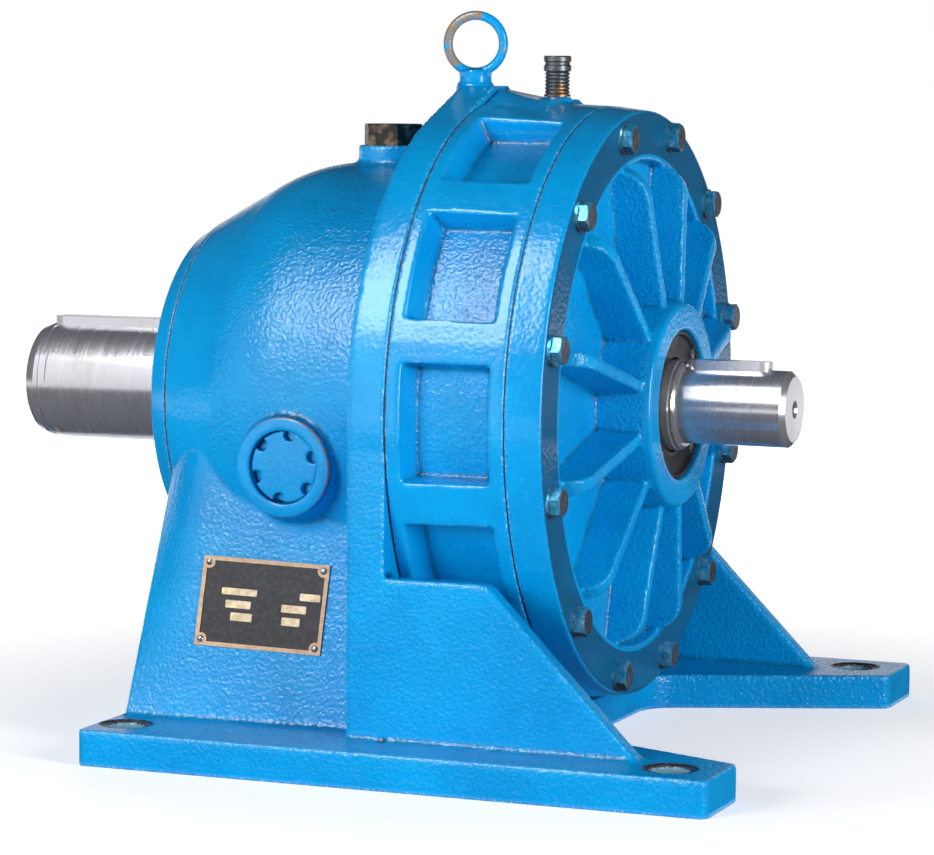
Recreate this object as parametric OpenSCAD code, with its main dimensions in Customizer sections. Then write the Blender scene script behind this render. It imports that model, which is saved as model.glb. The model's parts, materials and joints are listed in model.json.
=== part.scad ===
// Foot-mounted cycloidal reducer, double shaft, as a bench assembly.
// X runs along the shafts, the input end at +X. Z is up, the feet stand on z = 0, and the
// origin is the centre of the four foot bolts.

/* [Casing] */
// Height of the shaft axis above the floor
centre_h = 250; // [246:1:260]
// Distance from the foot bolt centre to the bolted face of the input cover
rim_x = 104; // [96:1:112]
// Outer diameter of the pin housing where the input cover is bolted on
ring_d = 436; // [430:1:440]
// Outer diameter of the casing flange
flange_d = 444; // [442:1:448]
// Thickness of the casing flange
flange_t = 28; // [25:1:34]
// Length of the bell, from its end face to the flange
bell_l = 185; // [182:1:200]
// Radius of the bell at its end face
bell_end_r = 132; // [129:1:134]
// Radius of the bell where its curve runs out
bell_r = 174; // [171:1:178]
// Slope of the bell's conical part against the shafts
bell_slope = 29; // [27:0.5:32]
// Radius of the arc between the cone and the straight part
bell_arc_r = 118; // [110:1:126]
// Growth of the bell radius over its straight part
bell_draft = 2; // [1:0.5:4]
// Wall thickness of the bell
bell_wall = 12; // [9:1:16]
// Height of the raised crown on the flange above the shaft axis
crown_h = 232; // [229:1:236]
// Width of the crown's flat top
crown_w = 28; // [24:1:34]
// Length of the crown's run-out on the pin housing
crown_l = 54; // [50:1:60]
// Radius of the opening through the casing flange
flange_bore_r = 150; // [145:1:153]
// Bore of the web oil holes
oil_hole_d = 16; // [10:1:24]

/* [Feet] */
// Thickness of the foot plate
foot_t = 26; // [22:1:32]
// Width of the foot plate across the shafts
foot_w = 530; // [524:1:560]
// Length of the foot plate beyond the rear bolts
foot_rear = 22; // [20:1:30]
// Length of the foot plate beyond the front bolts
foot_front = 37; // [30:1:50]
// Bolt spacing along the shafts
bolt_pitch_x = 410; // [400:1:420]
// Bolt spacing across the shafts
bolt_pitch_y = 460; // [450:1:470]
// Diameter of the foot bolt holes
bolt_hole_d = 26; // [18:1:30]
// Diameter of the spot faces round the foot bolt holes
spot_face_d = 38; // [34:1:42]
// Depth of the spot faces
spot_face_depth = 1; // [0.5:0.5:3]
// Width of each foot at its front end
toe_w = 69; // [60:1:80]
// Half width of the notch at its root
notch_root_w = 124; // [110:1:135]
// Depth of the notch from the front end
notch_depth = 173; // [160:1:180]
// Corner radius at the root of the notch
notch_r = 30; // [15:1:40]
// Corner radius of the feet
foot_corner_r = 6; // [2:1:12]

/* [Pedestal and gussets] */
// Half width of the pedestal where it meets the foot
pedestal_half_w = 198; // [190:1:204]
// Inward lean of the pedestal walls per millimetre of height
pedestal_lean = 0.2435; // [0.2:0.01:0.28]
// Inward lean of the pedestal walls per millimetre of length
pedestal_taper = 0.0423; // [0:0.005:0.06]
// Extra inward lean of the rear corners per millimetre of height
corner_lean = 0.214; // [0.1:0.01:0.25]
// Length over which the rear corners blend into the walls
corner_blend_l = 48; // [35:1:60]
// Height of the pedestal, hidden inside the bell
pedestal_top = 232; // [225:1:236]
// Wall thickness of the pedestal
pedestal_wall = 14; // [10:1:18]
// Inset of the gussets' outer faces from the flange's edge
gusset_inset = 1; // [0.5:0.5:4]
// Thickness of the gussets
gusset_t = 16; // [12:1:20]
// Height of the gusset ledge
gusset_h = 141; // [130:1:150]
// Length of the gusset ledge beyond the pin housing's rear face
gusset_ledge_l = 75; // [65:1:85]
// Foot of the gusset slope beyond the pin housing's rear face
gusset_l = 187; // [175:1:195]
// Corner radius of the gusset ledge
gusset_r = 12; // [6:1:16]

/* [Pin housing and input cover] */
// Width of the pin housing
ring_w = 86; // [84:1:92]
// Growth of the pin housing's radius towards the casing
ring_draft = 4; // [1:0.5:5]
// Loss of the input cover's radius towards its front
cover_draft = 3; // [0.5:0.5:4]
// Thickness of the end lips that hold the ring pins
lip_t = 10; // [8:1:12]
// Number of weight-saving pockets and bolts round the ring
ring_bolts = 12; // [12:12:12]
// Angle covered by one pocket
pocket_a = 22; // [18:0.5:23]
// Width of a pocket at the surface
pocket_w = 64; // [56:1:66]
// Depth of a pocket
pocket_depth = 17; // [10:1:18]
// Draft of the pocket side walls over the depth
pocket_draft = 5; // [2:0.5:8]
// Thickness of the paper gaskets
gasket_t = 1; // [0.5:0.1:1.5]
// Thickness of the cover at its bolted rim
cover_t = 26; // [24:1:30]
// Depth of the recess inside the rim
recess_depth = 10; // [7:1:12]
// Radius of the recess
recess_r = 179; // [175:1:183]
// Height of the hub face above the rim face
hub_h = 31; // [29:1:36]
// Radius of the hub at its face
hub_r = 75; // [73:1:80]
// Radial draft of the hub over its height
hub_draft = 4; // [2:0.5:7]
// Height of the ribs above the rim face, at the hub
rib_h = 24; // [20:1:27]
// Height of the ribs above the rim face, at their shoulder
rib_shoulder_h = 18; // [14:1:20]
// Thickness of the ribs along their top edge
rib_t = 8; // [6:0.5:10]
// Thickness of the ribs at the web
rib_base_t = 15; // [12:0.5:18]
// Corner radius of the rib shoulder
rib_round = 22; // [16:1:26]

/* [Fasteners] */
// Thread diameter of the flange bolts
bolt_d = 12; // [10:1:12]
// Bolt circle diameter of the flange bolts
bolt_circle_d = 403; // [401:1:405]
// Width across flats of the flange bolt heads
bolt_af = 19; // [17:1:21]
// Height of the flange bolt heads
bolt_head_h = 8; // [7:0.5:9]
// Thickness of the washers under the flange bolt heads
washer_t = 2; // [1:0.5:3]
// Thread diameter of the end cap screws
cap_screw_d = 10; // [8:1:10]
// Number of end cap screws
cap_screws_n = 6; // [4:1:8]
// Radial clearance round screws and bolts
screw_gap = 0.75; // [0.5:0.05:1]

/* [Output shaft and end cap] */
// Diameter of the output shaft extension
out_d = 90; // [84:1:92]
// Length of the output shaft extension beyond the end cap
out_l = 148; // [130:1:170]
// Width of the output key
out_key_w = 25; // [22:1:28]
// Distance of the output key from the shaft's end
out_key_inset = 6; // [4:1:30]
// Height of the output key
out_key_h = 14; // [12:1:16]
// Depth of the output keyway
out_key_depth = 9; // [7:0.5:10]
// Diameter of the output oil seal land
out_seal_d = 95; // [94:1:97]
// Outer diameter of the output oil seal
out_seal_od = 120; // [116:1:125]
// Thickness of the end cap
cap_t = 16; // [13:1:18]
// Loss of the end cap's radius towards its outer face
cap_draft = 9; // [6:0.5:10]
// Depth of the end cap's spigot in the bearing bore
spigot_l = 3; // [2:0.5:4]
// Radius of the pin plate
plate_r = 130; // [126:1:135]
// Thickness of the pin plate
plate_t = 24; // [20:1:26]

/* [Bearings] */
// Outboard output bearing: bore
outboard_d = 100; // [98:1:104]
// Outboard output bearing: outer diameter
outboard_od = 180; // [174:1:184]
// Outboard output bearing: width
outboard_w = 34; // [30:1:36]
// Inboard output bearing: bore
inboard_d = 110; // [108:1:114]
// Inboard output bearing: outer diameter
inboard_od = 200; // [194:1:206]
// Inboard output bearing: width
inboard_w = 38; // [34:1:40]
// Input bearing: bore
input_brg_d = 60; // [58:1:62]
// Input bearing: outer diameter
input_brg_od = 110; // [106:1:112]
// Input bearing: width
input_brg_w = 22; // [20:1:24]
// Pilot bearing: bore
pilot_d = 40; // [38:1:42]
// Pilot bearing: outer diameter
pilot_od = 80; // [78:1:84]
// Pilot bearing: width
pilot_w = 18; // [16:1:18]
// Clearance between rolling elements and their races
race_gap = 0.15; // [0.1:0.05:0.3]

/* [Cycloid drive] */
// Number of ring pins
pins_n = 12; // [12:12:12]
// Diameter of the ring pin circle
pin_circle_d = 330; // [329:0.5:331]
// Diameter of the ring pins
pin_d = 14; // [12:0.5:15]
// Outer diameter of the ring pin sleeves
sleeve_d = 26; // [24:0.5:27]
// Eccentricity
ecc = 6.5; // [5.5:0.25:6.75]
// Clearance between the discs and the ring pin sleeves
mesh_gap = 0.2; // [0.15:0.05:0.3]
// Thickness of a cycloid disc
disc_t = 26; // [22:1:28]
// Space between the two discs
disc_space = 8; // [6:1:10]
// Bore of the cycloid discs
disc_bore_d = 104; // [100:1:108]
// Number of output pins
out_pins_n = 8; // [6:2:8]
// Diameter of the output pin circle
out_circle_d = 196; // [192:1:200]
// Diameter of the output pins
out_pin_d = 22; // [20:1:24]
// Outer diameter of the output pin rollers
out_roller_d = 32; // [30:1:34]
// Diameter of the arm bearing rollers
arm_roller_d = 14; // [12:0.5:15]
// Number of rollers in each arm bearing
arm_rollers_n = 14; // [10:1:16]

/* [Input shaft] */
// Diameter of the input shaft extension
in_d = 56; // [52:1:58]
// Length of the input shaft beyond the hub face
in_l = 85; // [78:1:95]
// Width of the input key
in_key_w = 16; // [14:1:18]
// Length of the input key
in_key_l = 64; // [50:1:66]
// Height of the input key
in_key_h = 12; // [10:1:13]
// Depth of the input keyway
in_key_depth = 6; // [5:0.5:7]
// Diameter of the seat for the eccentric sleeve
ecc_seat_d = 50; // [46:1:52]
// Outer diameter of the seal sleeve
wear_sleeve_d = 67; // [66:0.5:69]
// Outer diameter of the input oil seal
in_seal_od = 90; // [86:1:92]
// Width of the input oil seal
in_seal_w = 10; // [8:1:11]
// Outer diameter of the seal cover
seal_cover_d = 110; // [108:1:112]
// Thickness of the seal cover
seal_cover_t = 10; // [7:1:11]
// Thread diameter of the end centre hole
centre_hole_d = 12; // [8:1:16]
// Depth of the end centre hole
centre_hole_l = 28; // [20:1:36]

/* [Fittings] */
// Distance of the filler boss ahead of the bell's end face
filler_x = 126; // [120:1:136]
// Radius of the filler boss
filler_boss_r = 26; // [24:1:28]
// Width across flats of the filler plug
filler_af = 41; // [36:1:44]
// Height of the filler plug's hexagon
filler_h = 16; // [12:1:20]
// Height of the filler boss above the bell's crown
filler_boss_h = 13; // [10:1:18]
// Diameter of the oil pipe over its thread
pipe_d = 18.4; // [16:0.2:20]
// Length of the oil pipe above its boss
pipe_l = 30; // [28:1:40]
// Wall of the boss round the oil pipe
pipe_boss_wall = 1.8; // [1.5:0.1:4]
// Distance of the sight glass ahead of the bell's end face
sight_x = 118; // [112:1:126]
// Height of the sight glass below the shaft axis
sight_drop = 39.5; // [36:0.5:46]
// Radius of the sight glass boss at its face
sight_boss_r = 35.3; // [34:0.1:38]
// Growth of the boss radius per millimetre of depth
sight_boss_draft = 0.24; // [0:0.02:0.3]
// Distance of the sight glass face from the shaft axis
sight_reach = 182; // [179:1:186]
// Radius of the sight glass plug
sight_plug_r = 25.5; // [24:0.5:27]
// Number of wrench notches in the sight glass plug
sight_notches = 6; // [4:1:8]
// Radius of the drain plug boss
drain_boss_r = 20; // [18:1:24]
// Height of the drain plug above the floor
drain_z = 101; // [98:1:106]
// Distance of the lifting eye ahead of the flange's back face
eye_back = 7; // [6:0.5:12]
// Radius of the lifting eye, to the middle of its bar
eye_r = 21; // [20:0.5:24]
// Diameter of the lifting eye's bar
eye_bar_d = 7; // [6:0.5:8]
// Height of the lifting eye's centre above its seat
eye_h = 31; // [30:0.5:38]
// Turn of the lifting eye out of the shafts' plane
eye_turn = 10; // [0:5:30]
// Length of the nameplate
plate_l = 98; // [80:1:104]
// Height of the nameplate
plate_h = 65; // [50:1:72]
// Thickness of the nameplate
nameplate_t = 1.5; // [1:0.1:2]
// Tilt of the nameplate out of level
plate_tilt = 1.6; // [0:0.2:3]

/* [Hidden] */
$fn = 96;
eps = 0.5;

// Stations along the shafts
cover_x = rim_x - cover_t;
ring_x1 = cover_x - gasket_t;
ring_x0 = ring_x1 - ring_w;
flange_x = ring_x0 - gasket_t;
back_x = flange_x - flange_t;
end_x = back_x - bell_l;
cap_x1 = end_x - gasket_t;
cap_x0 = cap_x1 - cap_t;
out_end_x = cap_x0 - out_l;
web_x = rim_x - recess_depth;
hub_x = rim_x + hub_h;
in_end_x = hub_x + in_l;
ring_mid = (ring_x0 + ring_x1) / 2;
disc_a_x = ring_mid + disc_space / 2;
disc_b_x = ring_mid - disc_space / 2 - disc_t;
disc_end_x = disc_a_x + disc_t;

// Radii
ring_r = ring_d / 2;
flange_r = flange_d / 2;
cap_face_r = bell_end_r - cap_draft;
gusset_half_w = flange_r - gusset_inset;
pin_circle_r = pin_circle_d / 2;
bolt_r = bolt_circle_d / 2;
lobes = pins_n - 1;
lip_bore_r = pin_circle_r + ecc - sleeve_d / 2 + 1;
sleeve_groove_r = pin_circle_r + sleeve_d / 2 + 2;
disc_bore_r = disc_bore_d / 2;
arm_pitch_r = disc_bore_r - arm_roller_d / 2;
ecc_r = disc_bore_r - arm_roller_d;
out_hole_r = out_roller_d / 2 + ecc + race_gap;
spacer_r = out_circle_d / 2 - out_roller_d / 2 - race_gap;
run_gap = 0.05;

// Output side stations
plate_x1 = disc_b_x - 5;
plate_x0 = plate_x1 - plate_t;
shoulder_l = 6;
inboard_x1 = plate_x0 - shoulder_l;
inboard_x0 = inboard_x1 - inboard_w;
outboard_x0 = end_x + spigot_l;
outboard_x1 = outboard_x0 + outboard_w;
bearing_lip = 8;
tube_wall = 14;
seal_land_x = cap_x0 - 6;
plate_gap = 4;

// Input side stations
input_brg_x1 = rim_x + 2;
input_brg_x0 = input_brg_x1 - input_brg_w;
cover_seat_x = hub_x - seal_cover_t - 3;
wear_x1 = hub_x + 3;
shoulder_x = disc_end_x + 2;
pilot_x1 = plate_x1;
pilot_x0 = pilot_x1 - pilot_w;
sleeve_x0 = disc_b_x - 2;
snap_t = 2.2;

// Bell: a cone from the end face, then an arc that runs out level
bell_cone_r = bell_r - bell_arc_r * (1 - cos(bell_slope));
bell_cone_x = end_x + (bell_cone_r - bell_end_r) / tan(bell_slope);
bell_curve_x = bell_cone_x + bell_arc_r * sin(bell_slope);
bell_steps = 10;

// Front end of the feet and the bolt pattern
foot_x0 = -bolt_pitch_x / 2 - foot_rear;
foot_x1 = bolt_pitch_x / 2 + foot_front;
pedestal_x0 = end_x + 0.6;

cast_blue = [0.02, 0.45, 0.75];
steel = [0.75, 0.76, 0.78];
bearing_steel = [0.66, 0.68, 0.70];
dark_steel = [0.25, 0.25, 0.26];
seal_black = [0.08, 0.08, 0.09];
gasket_grey = [0.12, 0.12, 0.12];
brass = [0.78, 0.60, 0.32];

// ---------- helpers ----------

// Points of an arc in a profile
function arc(c, r, a0, a1, n) =
    [for (i = [0:n]) [c[0] + r * cos(a0 + (a1 - a0) * i / n), c[1] + r * sin(a0 + (a1 - a0) * i / n)]];

// Puts children on the shaft axis: their z becomes +X, their x points down
module on_axis() {
    translate([0, 0, centre_h])
        rotate([0, 90, 0])
            children();
}

// Solid of revolution about the shaft axis, from points [radius, x]
module turned(points) {
    on_axis()
        rotate_extrude()
            polygon(points);
}

// Plain ring about the shaft axis
module tube(x0, x1, r_in, r_out) {
    on_axis()
        translate([0, 0, x0])
            difference() {
                cylinder(h = x1 - x0, r = r_out);
                translate([0, 0, -eps])
                    cylinder(h = x1 - x0 + 2 * eps, r = r_in);
            }
}

// Children spaced evenly round the shaft axis, the first one a0 degrees from straight down
module around(n, r, a0 = 0) {
    on_axis()
        for (i = [0:n - 1])
            rotate([0, 0, a0 + 360 * i / n])
                translate([r, 0, 0])
                    children();
}

// Round rod along the shaft axis from x0 to x1
module rod(x0, x1, r) {
    translate([0, 0, x0])
        cylinder(h = x1 - x0, r = r);
}

// Hexagon head with a turned chamfer, base on z = 0
module hex_head(af, h) {
    corner = af / sqrt(3);
    intersection() {
        cylinder(h = h, r = corner, $fn = 6);
        union() {
            cylinder(h = h - 1.5, r = corner + 1);
            translate([0, 0, h - 1.5])
                cylinder(h = 1.5, r1 = corner + 0.1, r2 = corner - 2.4);
        }
    }
}

// Key with round ends, lying along x from 0 to l, its foot on z = 0
module key_bar(l, w, h) {
    translate([w / 2, -w / 2, 0])
        cube([l - w, w, h]);
    for (x = [w / 2, l - w / 2])
        translate([x, 0, 0])
            cylinder(h = h, r = w / 2);
}

// Outer or inner race: a ring with a ball groove
module race(x0, w, r_in, r_out, pitch_r, ball_r) {
    difference() {
        tube(x0, x0 + w, r_in, r_out);
        on_axis()
            translate([0, 0, x0 + w / 2])
                rotate_extrude()
                    translate([pitch_r, 0])
                        circle(r = ball_r + race_gap);
    }
}

// Balls and their cage
module ball_set(x0, w, pitch_r, ball_r, n) {
    around(n, pitch_r)
        translate([0, 0, x0 + w / 2])
            sphere(r = ball_r, $fn = 24);
    difference() {
        tube(x0 + 1, x0 + w - 1, pitch_r - ball_r * 0.2, pitch_r + ball_r * 0.2);
        around(n, pitch_r - ball_r)
            translate([0, 0, x0 + w / 2])
                rotate([0, 90, 0])
                    cylinder(h = 2 * ball_r, r = ball_r + race_gap, $fn = 32);
    }
}

function ball_r_of(r_in, r_out) = (r_out - r_in) * 0.33;
function ball_n_of(r_in, r_out) = floor(PI * (r_in + r_out) / 2 / ball_r_of(r_in, r_out) / 1.25);
function mid_r(r_in, r_out) = (r_in + r_out) / 2;

// Three parts of one ball bearing
module bearing_outer(x0, w, d, od) {
    b = ball_r_of(d / 2, od / 2);
    p = mid_r(d / 2, od / 2);
    race(x0, w, p + b * 0.45, od / 2, p, b);
}
module bearing_inner(x0, w, d, od) {
    b = ball_r_of(d / 2, od / 2);
    p = mid_r(d / 2, od / 2);
    race(x0, w, d / 2, p - b * 0.45, p, b);
}
module bearing_balls(x0, w, d, od) {
    ball_set(x0, w, mid_r(d / 2, od / 2), ball_r_of(d / 2, od / 2), ball_n_of(d / 2, od / 2));
}

// ---------- casing ----------

// Radius of the bell at station x
function bell_radius(x) =
    x < bell_cone_x
        ? bell_cone_r - (bell_cone_x - x) * tan(bell_slope)
        : x < bell_curve_x
            ? bell_r - bell_arc_r + sqrt(bell_arc_r * bell_arc_r - (bell_curve_x - x) * (bell_curve_x - x))
            : bell_r + bell_draft * (x - bell_curve_x) / (back_x - bell_curve_x);

// Points [radius, x] along the bell from xa to where its curve runs out, moved inward by t
function bell_line(xa, t, n) =
    concat([[bell_radius(xa) - t, xa]],
        [for (i = [0:n]) let (x = bell_cone_x + (bell_curve_x - bell_cone_x) * i / n) [bell_radius(x) - t, x]]);

// Half width of the pedestal at station x and height z
function pedestal_y(x, z) =
    let (rise = z - foot_t, near_end = max(0, 1 - (x - pedestal_x0) / corner_blend_l))
    pedestal_half_w - pedestal_taper * (x - pedestal_x0) - pedestal_lean * rise
        - corner_lean * rise * near_end * near_end;

// Pedestal body, lofted through sections across the shafts
module pedestal_loft() {
    x_steps = 8;
    z_steps = 3;
    xs = concat([for (i = [0:x_steps]) pedestal_x0 + corner_blend_l * i / x_steps], [back_x + flange_t / 2]);
    zs = [for (j = [0:z_steps]) foot_t - 4 + (pedestal_top - foot_t + 4) * j / z_steps];
    m = 2 * len(zs);
    last = (len(xs) - 1) * m;
    pts = [for (x = xs) each concat(
        [for (z = zs) [x, -pedestal_y(x, z), z]],
        [for (j = [z_steps:-1:0]) [x, pedestal_y(x, zs[j]), zs[j]]])];
    sides = [for (i = [0:len(xs) - 2]) for (k = [0:m - 1])
        let (a = i * m + k, b = i * m + (k + 1) % m, c = b + m, d = a + m)
        each [[a, b, c], [a, c, d]]];
    ends = [for (j = [0:z_steps - 1])
        let (a = j, b = j + 1, c = m - 2 - j, d = m - 1 - j)
        each [[c, b, a], [d, c, a], [last + a, last + b, last + c], [last + a, last + c, last + d]]];
    polyhedron(points = pts, faces = concat(sides, ends), convexity = 4);
}

// Hollow under the pedestal, open at the floor
module pedestal_hollow() {
    x0 = pedestal_x0 + pedestal_wall;
    x1 = back_x - pedestal_wall / 2;
    low = pedestal_y(x1, foot_t) - pedestal_wall;
    top_z = centre_h - bell_r * 0.45;
    high = pedestal_y(x0, top_z) - pedestal_wall;
    translate([x0, 0, 0])
        rotate([90, 0, 90])
            linear_extrude(height = x1 - x0)
                polygon([[-low, -eps], [low, -eps], [low, foot_t], [high, top_z], [-high, top_z], [-low, foot_t]]);
}

// Foot plate, with the notch between the toes at the front
module foot_plate() {
    half = foot_w / 2;
    root_x = foot_x1 - notch_depth;
    linear_extrude(height = foot_t)
        offset(r = foot_corner_r, $fn = 32)
            offset(r = -foot_corner_r - notch_r, $fn = 32)
                offset(r = notch_r, $fn = 32)
                    difference() {
                        translate([foot_x0, -half])
                            square([foot_x1 - foot_x0, foot_w]);
                        polygon([
                            [foot_x1 + notch_r * 3, -half + toe_w - notch_r * 0.9], [foot_x1, -half + toe_w],
                            [root_x, -notch_root_w], [root_x, notch_root_w],
                            [foot_x1, half - toe_w], [foot_x1 + notch_r * 3, half - toe_w + notch_r * 0.9]
                        ]);
                    }
}

// Side gusset, from the flange down to the toe
module gusset() {
    ledge_x = ring_x0 + gusset_ledge_l;
    toe_x = ring_x0 + gusset_l;
    slope_a = atan2(gusset_h - foot_t, toe_x - ledge_x);
    c = [ledge_x - gusset_r * tan(slope_a / 2), gusset_h - gusset_r];
    translate([0, gusset_t / 2, 0])
        rotate([90, 0, 0])
            linear_extrude(height = gusset_t)
                polygon(concat(
                    [[back_x, foot_t - 2], [back_x, centre_h - 12], [flange_x, centre_h - 12], [flange_x, gusset_h]],
                    arc(c, gusset_r, 90, 90 - slope_a, 5),
                    [[toe_x, foot_t], [toe_x, foot_t - 2]]));
}

// Round boss standing on the casing, square to the shafts, pointing up
module top_boss(x, z0, z1, r) {
    translate([x, 0, z0])
        cylinder(h = z1 - z0, r = r);
}

// Raised crown on a round rim: flat top at height h over the axis, its sides tangent to radius r
module crown(x0, x1, r, h, half) {
    reach = sqrt(h * h + half * half);
    a = acos(r / reach) + atan(half / h);
    translate([x0, 0, centre_h])
        rotate([90, 0, 90])
            linear_extrude(height = x1 - x0)
                polygon([[-half, h], [-r * sin(a), r * cos(a)], [r * sin(a), r * cos(a)], [half, h]]);
}

filler_cx = end_x + filler_x;
filler_z = centre_h + bell_r + filler_boss_h;
filler_thread_r = filler_af / 2 - 4;
eye_x = back_x + eye_back;
eye_seat_z = centre_h + crown_h;
eye_boss_r = 14.5;
eye_thread_r = 6;
eye_thread_l = 24;
sight_cx = end_x + sight_x;
sight_cz = centre_h - sight_drop;
sight_seat = sight_reach - 16;
drain_thread_r = 9;
drain_face_x = end_x + 0.3;
drain_l = 65;
cap_screw_r = (outboard_od / 2 + cap_face_r) / 2;
cap_screw_l = 22;

module base_casing() {
    color(cast_blue)
        difference() {
            union() {
                difference() {
                    union() {
                        pedestal_loft();
                        foot_plate();
                    }
                    pedestal_hollow();
                }
                // bell and flange
                turned(concat(
                    [[0, end_x]],
                    bell_line(end_x, 0, bell_steps),
                    [[bell_radius(back_x), back_x], [flange_r, back_x], [flange_r, flange_x], [0, flange_x]]));
                // flange skirt and side gussets
                translate([back_x, -gusset_half_w, foot_t - 2])
                    cube([flange_t, 2 * gusset_half_w, centre_h - 12 - foot_t + 2]);
                for (s = [-1, 1])
                    translate([0, s * (gusset_half_w - gusset_t / 2), 0])
                        gusset();
                // bosses for the filler plug, lifting eye, sight glass and drain plug
                top_boss(filler_cx, centre_h + bell_r - 20, filler_z, filler_boss_r);
                crown(back_x, flange_x, flange_r, crown_h, crown_w / 2);
                top_boss(eye_x, centre_h + bell_r - 4, eye_seat_z, eye_boss_r);
                translate([sight_cx, -sight_reach, sight_cz])
                    rotate([-90, 0, 0])
                        cylinder(h = 60, r1 = sight_boss_r, r2 = sight_boss_r + 60 * sight_boss_draft);
                translate([drain_face_x, 0, drain_z])
                    rotate([0, 90, 0])
                        cylinder(h = drain_l + 6, r = drain_boss_r);
            }
            casing_bore();
            casing_holes();
        }
}

// Everything that is turned out of the casing on the shaft axis
module casing_bore() {
    cavity_x0 = end_x + cap_screw_l + 5;
    lip_x = outboard_x1 + bearing_lip;
    tube_r = outboard_od / 2 + tube_wall + 4;
    web_back = inboard_x0 + (inboard_x1 - inboard_x0) * 0.35;
    turned(concat(
        [[0, end_x - eps], [outboard_od / 2, end_x - eps], [outboard_od / 2, outboard_x1],
         [outboard_od / 2 - bearing_lip, outboard_x1], [outboard_od / 2 - bearing_lip, lip_x],
         [tube_r, lip_x], [tube_r, cavity_x0]],
        bell_line(cavity_x0, bell_wall, 8),
        [[bell_radius(web_back) - bell_wall, web_back], [inboard_od / 2 + tube_wall, web_back],
         [inboard_od / 2 + tube_wall, inboard_x0 - bearing_lip - 2],
         [inboard_od / 2 - bearing_lip, inboard_x0 - bearing_lip - 2],
         [inboard_od / 2 - bearing_lip, inboard_x0], [inboard_od / 2, inboard_x0],
         [inboard_od / 2, inboard_x1 + 2], [flange_bore_r, inboard_x1 + 2],
         [flange_bore_r, flange_x + eps], [0, flange_x + eps]]));
    // oil holes through the bearing web
    around(4, (inboard_od / 2 + tube_wall + bell_r - bell_wall) / 2, 0)
        rod(web_back - 5, inboard_x1 + 4, oil_hole_d / 2);
}

module casing_holes() {
    // tapped holes for the flange bolts
    around(ring_bolts, bolt_r, 180 / ring_bolts)
        rod(back_x - eps, flange_x + eps, bolt_d / 2 + run_gap);
    // tapped holes for the end cap screws
    around(cap_screws_n, cap_screw_r, 180 / cap_screws_n)
        rod(end_x - eps, end_x + cap_screw_l, cap_screw_d / 2 + run_gap);
    // foot bolts
    for (sx = [-1, 1])
        for (sy = [-1, 1])
            translate([sx * bolt_pitch_x / 2, sy * bolt_pitch_y / 2, 0]) {
                translate([0, 0, -eps])
                    cylinder(h = foot_t + 2 * eps, r = bolt_hole_d / 2);
                translate([0, 0, foot_t - spot_face_depth])
                    cylinder(h = 10, r = spot_face_d / 2);
            }
    // filler, lifting eye, sight glass and drain
    top_boss(filler_cx, centre_h + bell_r - bell_wall - 10, filler_z + eps, filler_thread_r + run_gap);
    top_boss(eye_x, eye_seat_z - eye_thread_l - 2, eye_seat_z + eps, eye_thread_r + run_gap);
    translate([sight_cx, -sight_reach - eps, sight_cz])
        rotate([-90, 0, 0]) {
            cylinder(h = sight_reach - sight_seat + eps, r = sight_plug_r + 1.6);
            cylinder(h = 70, r = sight_plug_r - 6);
        }
    translate([drain_face_x - 1, 0, drain_z])
        rotate([0, 90, 0])
            cylinder(h = drain_l, r = drain_thread_r + run_gap);
    on_nameplate()
        plate_rivet_places()
            translate([0, 0, -8])
                cylinder(h = 8 + eps, r = 1.5);
}

// ---------- pin housing and cover ----------

pipe_boss_z = centre_h + ring_r + 6.5;
ring_back_r = ring_r + ring_draft;

// Run-out of the flange's crown on top of the pin housing
module ring_crown() {
    low = centre_h + ring_r - 20;
    intersection() {
        crown(ring_x0, ring_x0 + crown_l, ring_r, crown_h - 2, crown_w / 4);
        rotate([90, 0, 0])
            linear_extrude(height = ring_d, center = true)
                polygon([
                    [ring_x0, low], [ring_x0, centre_h + crown_h - 2], [ring_x0 + 10, centre_h + crown_h - 4.5],
                    [ring_x0 + 23, pipe_boss_z], [ring_x0 + 36, pipe_boss_z - 2],
                    [ring_x0 + crown_l - 3, pipe_boss_z - 2], [ring_x0 + crown_l, low]]);
    }
}

module pin_gear_housing() {
    pocket_r = ring_back_r + 2;
    flare = pocket_draft * (pocket_r - ring_r) / pocket_depth;
    color(cast_blue)
        difference() {
            union() {
                turned([
                    [lip_bore_r, ring_x0], [ring_back_r, ring_x0], [ring_r, ring_x1], [lip_bore_r, ring_x1],
                    [lip_bore_r, ring_x1 - lip_t], [sleeve_groove_r, ring_x1 - lip_t],
                    [sleeve_groove_r, ring_x0 + lip_t], [lip_bore_r, ring_x0 + lip_t]]);
                ring_crown();
                top_boss(ring_mid, centre_h + ring_r - 20, pipe_boss_z, pipe_d / 2 + pipe_boss_wall);
            }
            // pockets between the bolts, none under the pipe boss
            for (i = [1:ring_bolts - 1])
                on_axis()
                    rotate([0, 0, 180 + 360 * i / ring_bolts - pocket_a / 2])
                        rotate_extrude(angle = pocket_a)
                            polygon([
                                [ring_r - pocket_depth, ring_mid - pocket_w / 2 + pocket_draft],
                                [pocket_r, ring_mid - pocket_w / 2 - flare],
                                [pocket_r, ring_mid + pocket_w / 2 + flare],
                                [ring_r - pocket_depth, ring_mid + pocket_w / 2 - pocket_draft]]);
            around(ring_bolts, bolt_r, 180 / ring_bolts)
                rod(ring_x0 - eps, ring_x1 + eps, bolt_d / 2 + screw_gap);
            around(pins_n, pin_circle_r)
                rod(ring_x0 - eps, ring_x1 + eps, pin_d / 2 + run_gap);
            top_boss(ring_mid, centre_h + sleeve_groove_r - 8, pipe_boss_z + eps, pipe_d / 2 - 2 + run_gap);
        }
}

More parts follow.
